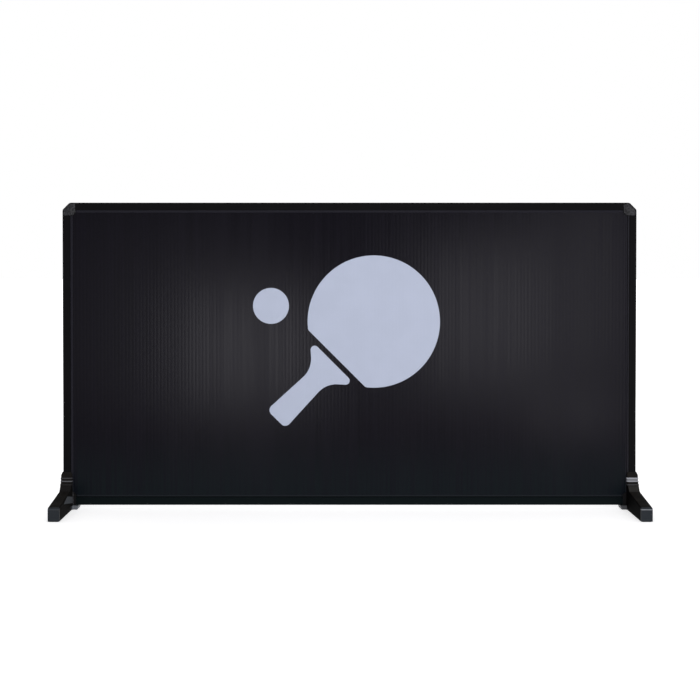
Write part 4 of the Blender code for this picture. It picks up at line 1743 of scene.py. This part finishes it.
@dataclass(frozen=True)
class Foot:
    """One push-on foot, modelled as the left one: inner side +X, origin under its socket."""

    side: int
    tube_face: float = 18 * MM
    tube_depth: float = 20 * MM
    gap: float = 0.3 * MM
    wall: float = 4.4 * MM
    floor_gap: float = 11 * MM
    half_length: float = 180 * MM
    tower_height: float = 92 * MM
    top_chamfer: float = 3.2 * MM
    chamfer_drop: float = 7.5 * MM
    waist: float = 68 * MM
    draft: float = 4.8 * MM
    root_reach: float = 38 * MM
    root_height: float = 48.5 * MM
    toe_height: float = 33 * MM
    toe_rounding: float = 6.5 * MM
    blend: float = 12 * MM
    edge: float = 2 * MM
    leg_wall: float = 3 * MM
    leg_rib: float = 2.4 * MM
    pockets: int = 5
    rings: int = 3
    lowest_ring: float = 62.4 * MM
    ring_pitch: float = 7.2 * MM
    ring_thickness: float = 3.4 * MM
    ring_proud: float = 0.9 * MM
    ring_rounding: float = 1.5 * MM
    heel_reach: float = 15.5 * MM
    heel_half: float = 20 * MM
    heel_undercut: float = 2.5 * MM
    heel_blend: float = 9 * MM
    heel_flare: float = 27 * MM
    heel_ease: float = 0.6 * MM
    peg_inset: float = 22 * MM
    peg_radius: float = 4 * MM
    peg_height: float = 9 * MM
    peg_ease: float = 1 * MM
    peg_sides: int = 40
    pad_length: float = 44 * MM
    pad_seat: float = 7 * MM
    pad_proud: float = 1.2 * MM
    pad_ease: float = 0.5 * MM
    grooves: int = 7
    groove_depth: float = 0.9 * MM
    groove_share: float = 0.4

    @property
    def half_width(self) -> float:
        """Half the foot's width along the barrier."""
        return self.tube_face / 2 + self.gap + self.wall

    @property
    def tower_half(self) -> float:
        """Half the tower's depth at its top."""
        return self.tube_depth / 2 + self.gap + self.wall

    @property
    def socket_floor(self) -> float:
        """Height of the socket's floor."""
        return self.floor_gap - self.gap

    def half_depth(self, height: float) -> float:
        """How far the tower's front stands from the middle plane.

        Above the waist it is the top's depth plus the draft in proportion to the drop from the
        top, and below the waist it runs straight out to the leg's root.

        Args:
            height: Height over the floor.

        Returns:
            The distance.
        """
        waist_half = self.tower_half + self.draft
        if height < self.waist:
            share = (self.waist - height) / (self.waist - self.root_height)
            return waist_half + (self.root_reach - waist_half) * share
        top = self.tower_height - self.chamfer_drop
        return waist_half - self.draft * (height - self.waist) / (top - self.waist)

    def leg_top(self, reach: float) -> float:
        """Height of the leg's top at a reach, on a straight slope from its root to the toe."""
        share = (reach - self.root_reach) / (self.half_length - self.root_reach)
        return self.root_height + (self.toe_height - self.root_height) * share

    def block(self) -> Surface:
        """The outer form before it is hollowed: the side view carried across, rims rounded.

        Returns:
            The closed surface.
        """
        side = [
            (self.half_length, self.pad_proud, 0),
            (self.half_length, self.toe_height, self.toe_rounding),
            (self.root_reach, self.root_height, self.blend),
            (self.half_depth(self.waist), self.waist, self.blend),
            (self.tower_half, self.tower_height - self.chamfer_drop, self.edge),
            (self.tower_half - self.top_chamfer, self.tower_height, self.edge / 2),
        ]
        outline = rounded(mirrored(side))
        middle = (outline + np.roll(outline, -1, axis=0)) / 2
        shares = np.where(middle[:, 1] > self.pad_proud + self.gap, 1.0, 0.0)
        span = (-self.half_width, self.half_width)
        return prism(outline, span, Axis.X, self.edge, shares, steps=7)

    def ring(self, height: float) -> Surface:
        """One raised ring round the tower, its rim a full round.

        Args:
            height: Height of its middle.

        Returns:
            The closed surface.
        """
        half_x = self.half_width + self.ring_proud
        half_y = self.half_depth(height) + self.ring_proud
        rounding = self.edge + self.ring_proud
        outline = box_outline((-half_x, half_x), (-half_y, half_y), rounding, steps=8)
        half = self.ring_thickness / 2
        return prism(outline, (height - half, height + half), Axis.Z, self.ring_rounding, steps=6)

    def top_slopes(self) -> Surface:
        """Cutters that slope the top of the tower's outer and inner sides like its front.

        Returns:
            Both wedges.
        """
        lift = CUT_OVERRUN * (self.chamfer_drop / self.top_chamfer)
        low, high = self.tower_height - self.chamfer_drop - lift, self.tower_height + lift
        out = self.half_width + CUT_OVERRUN
        inner = self.half_width - self.top_chamfer - CUT_OVERRUN
        wedges = []
        for side in SIDES:
            outline = np.array([(side * out, low), (side * out, high), (side * inner, high)])
            wedges.append(prism(outline, (-self.tube_depth, self.tube_depth), Axis.Y))
        return wedges[0].joined(wedges[1])

    def heel(self) -> Surface:
        """The tongue under the bottom rail, blended into both legs, its end sloped inwards.

        Returns:
            The closed surface.
        """
        end = self.half_width + self.heel_reach
        side = self.half_width - self.gap
        inside = self.half_width - self.leg_wall / 2
        reach = self.heel_half + self.heel_flare
        front = [
            (end, self.heel_half, self.edge),
            (side, self.heel_half, self.heel_blend),
            (side, reach, 0),
            (inside, reach, 0),
        ]
        outline = rounded(mirrored(front, (1, -1)), steps=10)
        rise = (self.pad_proud, self.socket_floor)
        tongue = prism(outline, rise, Axis.Z, self.heel_ease, steps=3)
        points = tongue.points.copy()
        share = (self.socket_floor - points[:, 2]) / (self.socket_floor - self.pad_proud)
        past = np.clip(points[:, 0] - self.half_width, 0, None) / self.heel_reach
        points[:, 0] -= self.heel_undercut * past * share
        return Surface(points, tongue.faces)

    def peg(self) -> Surface:
        """The locating peg on the heel, its top eased.

        Returns:
            The closed surface.
        """
        down, in_by = rim(self.peg_ease, steps=5)
        top = self.socket_floor + self.peg_height
        radii = np.concatenate([[self.peg_radius], self.peg_radius - in_by])
        heights = np.concatenate([[self.pad_proud + self.gap], top - down])
        upright = turned_surface(radii, heights, self.peg_sides)
        return upright.moved((self.peg_inset - self.tube_face / 2, 0, 0))

    def hollows(self) -> Surface:
        """Cutters for the pockets between the ribs under both legs.

        Returns:
            All the cutters.
        """
        half_x = self.half_width - self.leg_wall
        first = self.heel_half + self.leg_wall
        last = self.half_length - self.leg_wall
        step = (last - first + self.leg_rib) / self.pockets
        below = self.pad_proud - CUT_OVERRUN
        cutters = []
        for side in SIDES:
            for i in range(self.pockets):
                near = first + i * step
                far = near + step - self.leg_rib
                near_top = min(self.leg_top(near), self.root_height) - self.leg_wall
                far_top = self.leg_top(far) - self.leg_wall
                if i == self.pockets - 1:
                    far_top -= self.toe_rounding / 2
                corners = [
                    (side * near, below, 0),
                    (side * far, below, 0),
                    (side * far, far_top, self.edge),
                    (side * near, near_top, self.edge),
                ]
                outline = rounded(corners, steps=4)
                cutters.append(prism(outline, (-half_x, half_x), Axis.X, self.edge / 2, steps=3))
        return cutters[0].joined(*cutters[1:])

    def pad_seats(self) -> Surface:
        """Cutters for the seats of the two pads.

        Returns:
            Both cutters.
        """
        half_x = self.half_width - self.leg_wall
        last = self.half_length - self.leg_wall
        rise = (self.pad_proud - CUT_OVERRUN, self.pad_proud + self.pad_seat)
        seats = []
        for side in SIDES:
            along = sorted((side * (last - self.pad_length), side * last))
            seats.append(prism(box_outline(along, rise), (-half_x, half_x), Axis.X))
        return seats[0].joined(seats[1])

    def socket(self) -> Surface:
        """The cutter for the socket, open at the top and towards the bottom rail.

        Returns:
            The cutter.
        """
        half_face = self.tube_face / 2 + self.gap
        half_depth = self.tube_depth / 2 + self.gap
        out = self.half_width + self.heel_reach + CUT_OVERRUN
        outline = box_outline((-half_face, out), (-half_depth, half_depth))
        return prism(outline, (self.socket_floor, self.tower_height + CUT_OVERRUN), Axis.Z)

    def moulding(self, name: str) -> Mesh:
        """The whole foot without its pads.

        Args:
            name: Name of the mesh.

        Returns:
            The foot as one mesh.
        """
        heights = [self.lowest_ring + i * self.ring_pitch for i in range(self.rings)]
        return combined(
            name,
            self.block(),
            (Cut.TAKE, self.top_slopes()),
            *((Cut.ADD, self.ring(height)) for height in heights),
            (Cut.ADD, self.heel()),
            (Cut.TAKE, self.socket()),
            (Cut.ADD, self.peg()),
            (Cut.TAKE, self.hollows()),
            (Cut.TAKE, self.pad_seats()),
        )

    def pad(self) -> Surface:
        """A rubber pad with grooves across its underside.

        Its side view's underside is a square wave: groove i starts a set share of the pitch
        into its step, and its depth is taken off the foot of the pad.

        Returns:
            The closed surface.
        """
        half_y = self.pad_length / 2 - self.gap
        half_x = self.half_width - self.leg_wall - self.gap
        top = self.pad_proud + self.pad_seat - self.gap
        pitch = 2 * half_y / (self.grooves + 1)
        width = pitch * self.groove_share
        middle = -half_y + pitch * (1 + np.arange(self.grooves))
        y = (middle[:, None] + width / 2 * np.array([-1, -1, 1, 1])).ravel()
        z = np.tile([0, self.groove_depth, self.groove_depth, 0], self.grooves)
        top_side = [[half_y, 0], [half_y, top], [-half_y, top]]
        outline = np.concatenate([[[-half_y, 0]], np.stack([y, z], axis=-1), top_side])
        return prism(outline, (-half_x, half_x), Axis.X, self.pad_ease, steps=3)

    def build(self, palette: Palette) -> None:
        """Makes and dresses the foot and its pads, the right foot turned half round.

        Args:
            palette: The finishes.
        """
        word, quarters = ("left", 0) if self.side < 0 else ("right", 2)
        body = f"{word}_foot"
        low, high = node_span(f"{word}_foot_front_pad", Axis.X)
        turn = turned_to(((low + high) / 2, 0, 0), Axis.Z, quarters)
        mesh = self.moulding(body)
        mesh.transform(turn)
        dress(body, mesh, palette.foot, body)
        reach = self.half_length - self.leg_wall - self.pad_length / 2
        for end, direction in (("front", self.side), ("rear", -self.side)):
            node = f"{word}_foot_{end}_pad"
            pad = self.pad().moved((0, direction * reach, 0)).mesh(node)
            pad.transform(turn)
            dress(node, pad, palette.rubber, body)


@dataclass(frozen=True)
class Softbox:
    """One rectangular studio light, aimed at a point."""

    name: str
    place: Place
    aim: Place
    size: Span
    watts: float
    colour: Colour = (1.0, 0.98, 1.06)

    def build(self) -> None:
        """Puts the light in the scene."""
        data = bpy.data.lights.new(self.name, "AREA")
        data.shape = "RECTANGLE"
        data.size, data.size_y = self.size
        data.color = self.colour
        data.energy = self.watts
        light = linked(self.name, data)
        light.visible_camera = False
        light.location = self.place
        towards = Vector(self.aim) - Vector(self.place)
        light.rotation_euler = towards.to_track_quat("-Z", "Y").to_euler()


@dataclass(frozen=True)
class Studio:
    """Camera, soft lights, pale floor and white surround."""

    camera_place: Place = (-0.035, -3.478, 0.612)
    pitch_down: float = math.radians(0.982)
    sensor: float = 36.0
    lens: float = 73.1
    shift: tuple[float, float] = (0.0212, -0.0948)
    floor_half: float = 40.0
    floor_colour: Colour = (0.8, 0.8, 0.8)
    floor_roughness: float = 0.9
    floor_gloss: float = 0.1
    glow: Span = (0.64, 1.0)
    glow_span: Span = (0.9, 3.2)
    dim: float = 0.5
    lights: tuple[Softbox, ...] = (
        Softbox("key", (1.5, -3.0, 2.2), (0.15, 0.0, 0.35), (0.8, 0.8), 8),
        Softbox("fill", (-1.7, -3.3, 2.0), (-0.1, 0.0, 0.35), (1.2, 1.2), 4),
        Softbox("glow_left", (-0.4, -2.6, 0.25), (-0.4, 0.0, 0.25), (0.57, 0.46), 11.5),
        Softbox("glow_edge", (-0.9, -2.6, 0.35), (-0.9, 0.0, 0.35), (0.8, 0.9), 3),
        Softbox("glow_right", (0.56, -2.6, 0.37), (0.56, 0.0, 0.37), (0.48, 0.58), 9.8),
        Softbox("glow_far", (1.07, -2.6, 0.5), (1.07, 0.0, 0.5), (0.54, 0.8), 7.8),
        Softbox("glow_low", (0.77, -1.2, 0.1), (0.77, 0.0, 0.1), (0.34, 0.16), 0.75),
        Softbox("back_key", (-0.35, 3.0, 1.7), (-0.15, 0.0, 0.35), (0.6, 0.8), 20),
        Softbox("back_fill", (0.35, 2.8, 0.5), (0.35, 0.0, 0.35), (0.6, 0.6), 14),
    )

    def build(self) -> None:
        """Sets up everything round the object."""
        self.camera()
        self.surround()
        self.floor()
        for light in self.lights:
            light.build()
        bpy.context.scene.view_settings.view_transform = "Standard"

    def camera(self) -> None:
        """The camera, square on but for a slight pitch, its frame shifted onto the object."""
        data = bpy.data.cameras.new("camera")
        data.sensor_width = self.sensor
        data.lens = self.lens
        data.shift_x, data.shift_y = self.shift
        camera = linked("camera", data)
        camera.location = self.camera_place
        camera.rotation_euler = (math.pi / 2 - self.pitch_down, 0, 0)
        bpy.context.scene.camera = camera

    @staticmethod
    def seen_directly(tree: bpy.types.NodeTree) -> Socket:
        """One for camera, glossy and transmission rays, and nothing for the rest.

        Args:
            tree: The nodes of the world or the floor.

        Returns:
            The share.
        """
        path = tree.nodes.new("ShaderNodeLightPath")
        total = path.outputs["Is Camera Ray"]
        for name in ("Is Glossy Ray", "Is Transmission Ray"):
            both = tree.nodes.new("ShaderNodeMath")
            both.operation = "MAXIMUM"
            tree.links.new(total, both.inputs[0])
            tree.links.new(path.outputs[name], both.inputs[1])
            total = both.outputs["Value"]
        return total

    def surround(self) -> None:
        """A world that shows white and lights the object softly."""
        world = bpy.data.worlds.new("surround")
        world.use_nodes = True
        tree = world.node_tree
        background = tree.nodes["Background"]
        background.inputs["Color"].default_value = (1, 1, 1, 1)
        strength = tree.nodes.new("ShaderNodeMapRange")
        tree.links.new(self.seen_directly(tree), strength.inputs["Value"])
        strength.inputs["To Min"].default_value = self.dim
        tree.links.new(strength.outputs["Result"], background.inputs["Strength"])
        bpy.context.scene.world = world

    def floor(self) -> None:
        """A pale floor that keeps the object's shadow and fades to white farther off."""
        half = self.floor_half
        corners = [(-half, -half, 0), (half, -half, 0), (half, half, 0), (-half, half, 0)]
        mesh = bpy.data.meshes.new("floor")
        mesh.from_pydata(corners, [], [(0, 1, 2, 3)])
        floor = linked("floor", mesh)
        graph = NodeGraph("pale_floor")
        inputs = graph.shader.inputs
        graph.finish((*self.floor_colour, 1), self.floor_roughness, self.floor_gloss)
        inputs["Emission Color"].default_value = (1, 1, 1, 1)
        length = graph.add("ShaderNodeVectorMath", operation="LENGTH")
        graph.feed(length.inputs[0], graph.place())
        glow = graph.between(length.outputs["Value"], self.glow_span, self.glow)
        seen = self.seen_directly(graph.tree)
        graph.feed(inputs["Emission Strength"], graph.times(glow, seen))
        mesh.materials.append(graph.material)


def main() -> None:
    """Builds the barrier's looks in order."""
    logging.basicConfig(level=logging.INFO, format="%(name)s: %(message)s")
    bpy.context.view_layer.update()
    palette = Palette()
    PanelAssembly().build(palette)
    FrameAssembly().build(palette)
    for side in SIDES:
        Foot(side).build(palette)
    Studio().build()


if __name__ == "__main__":
    main()
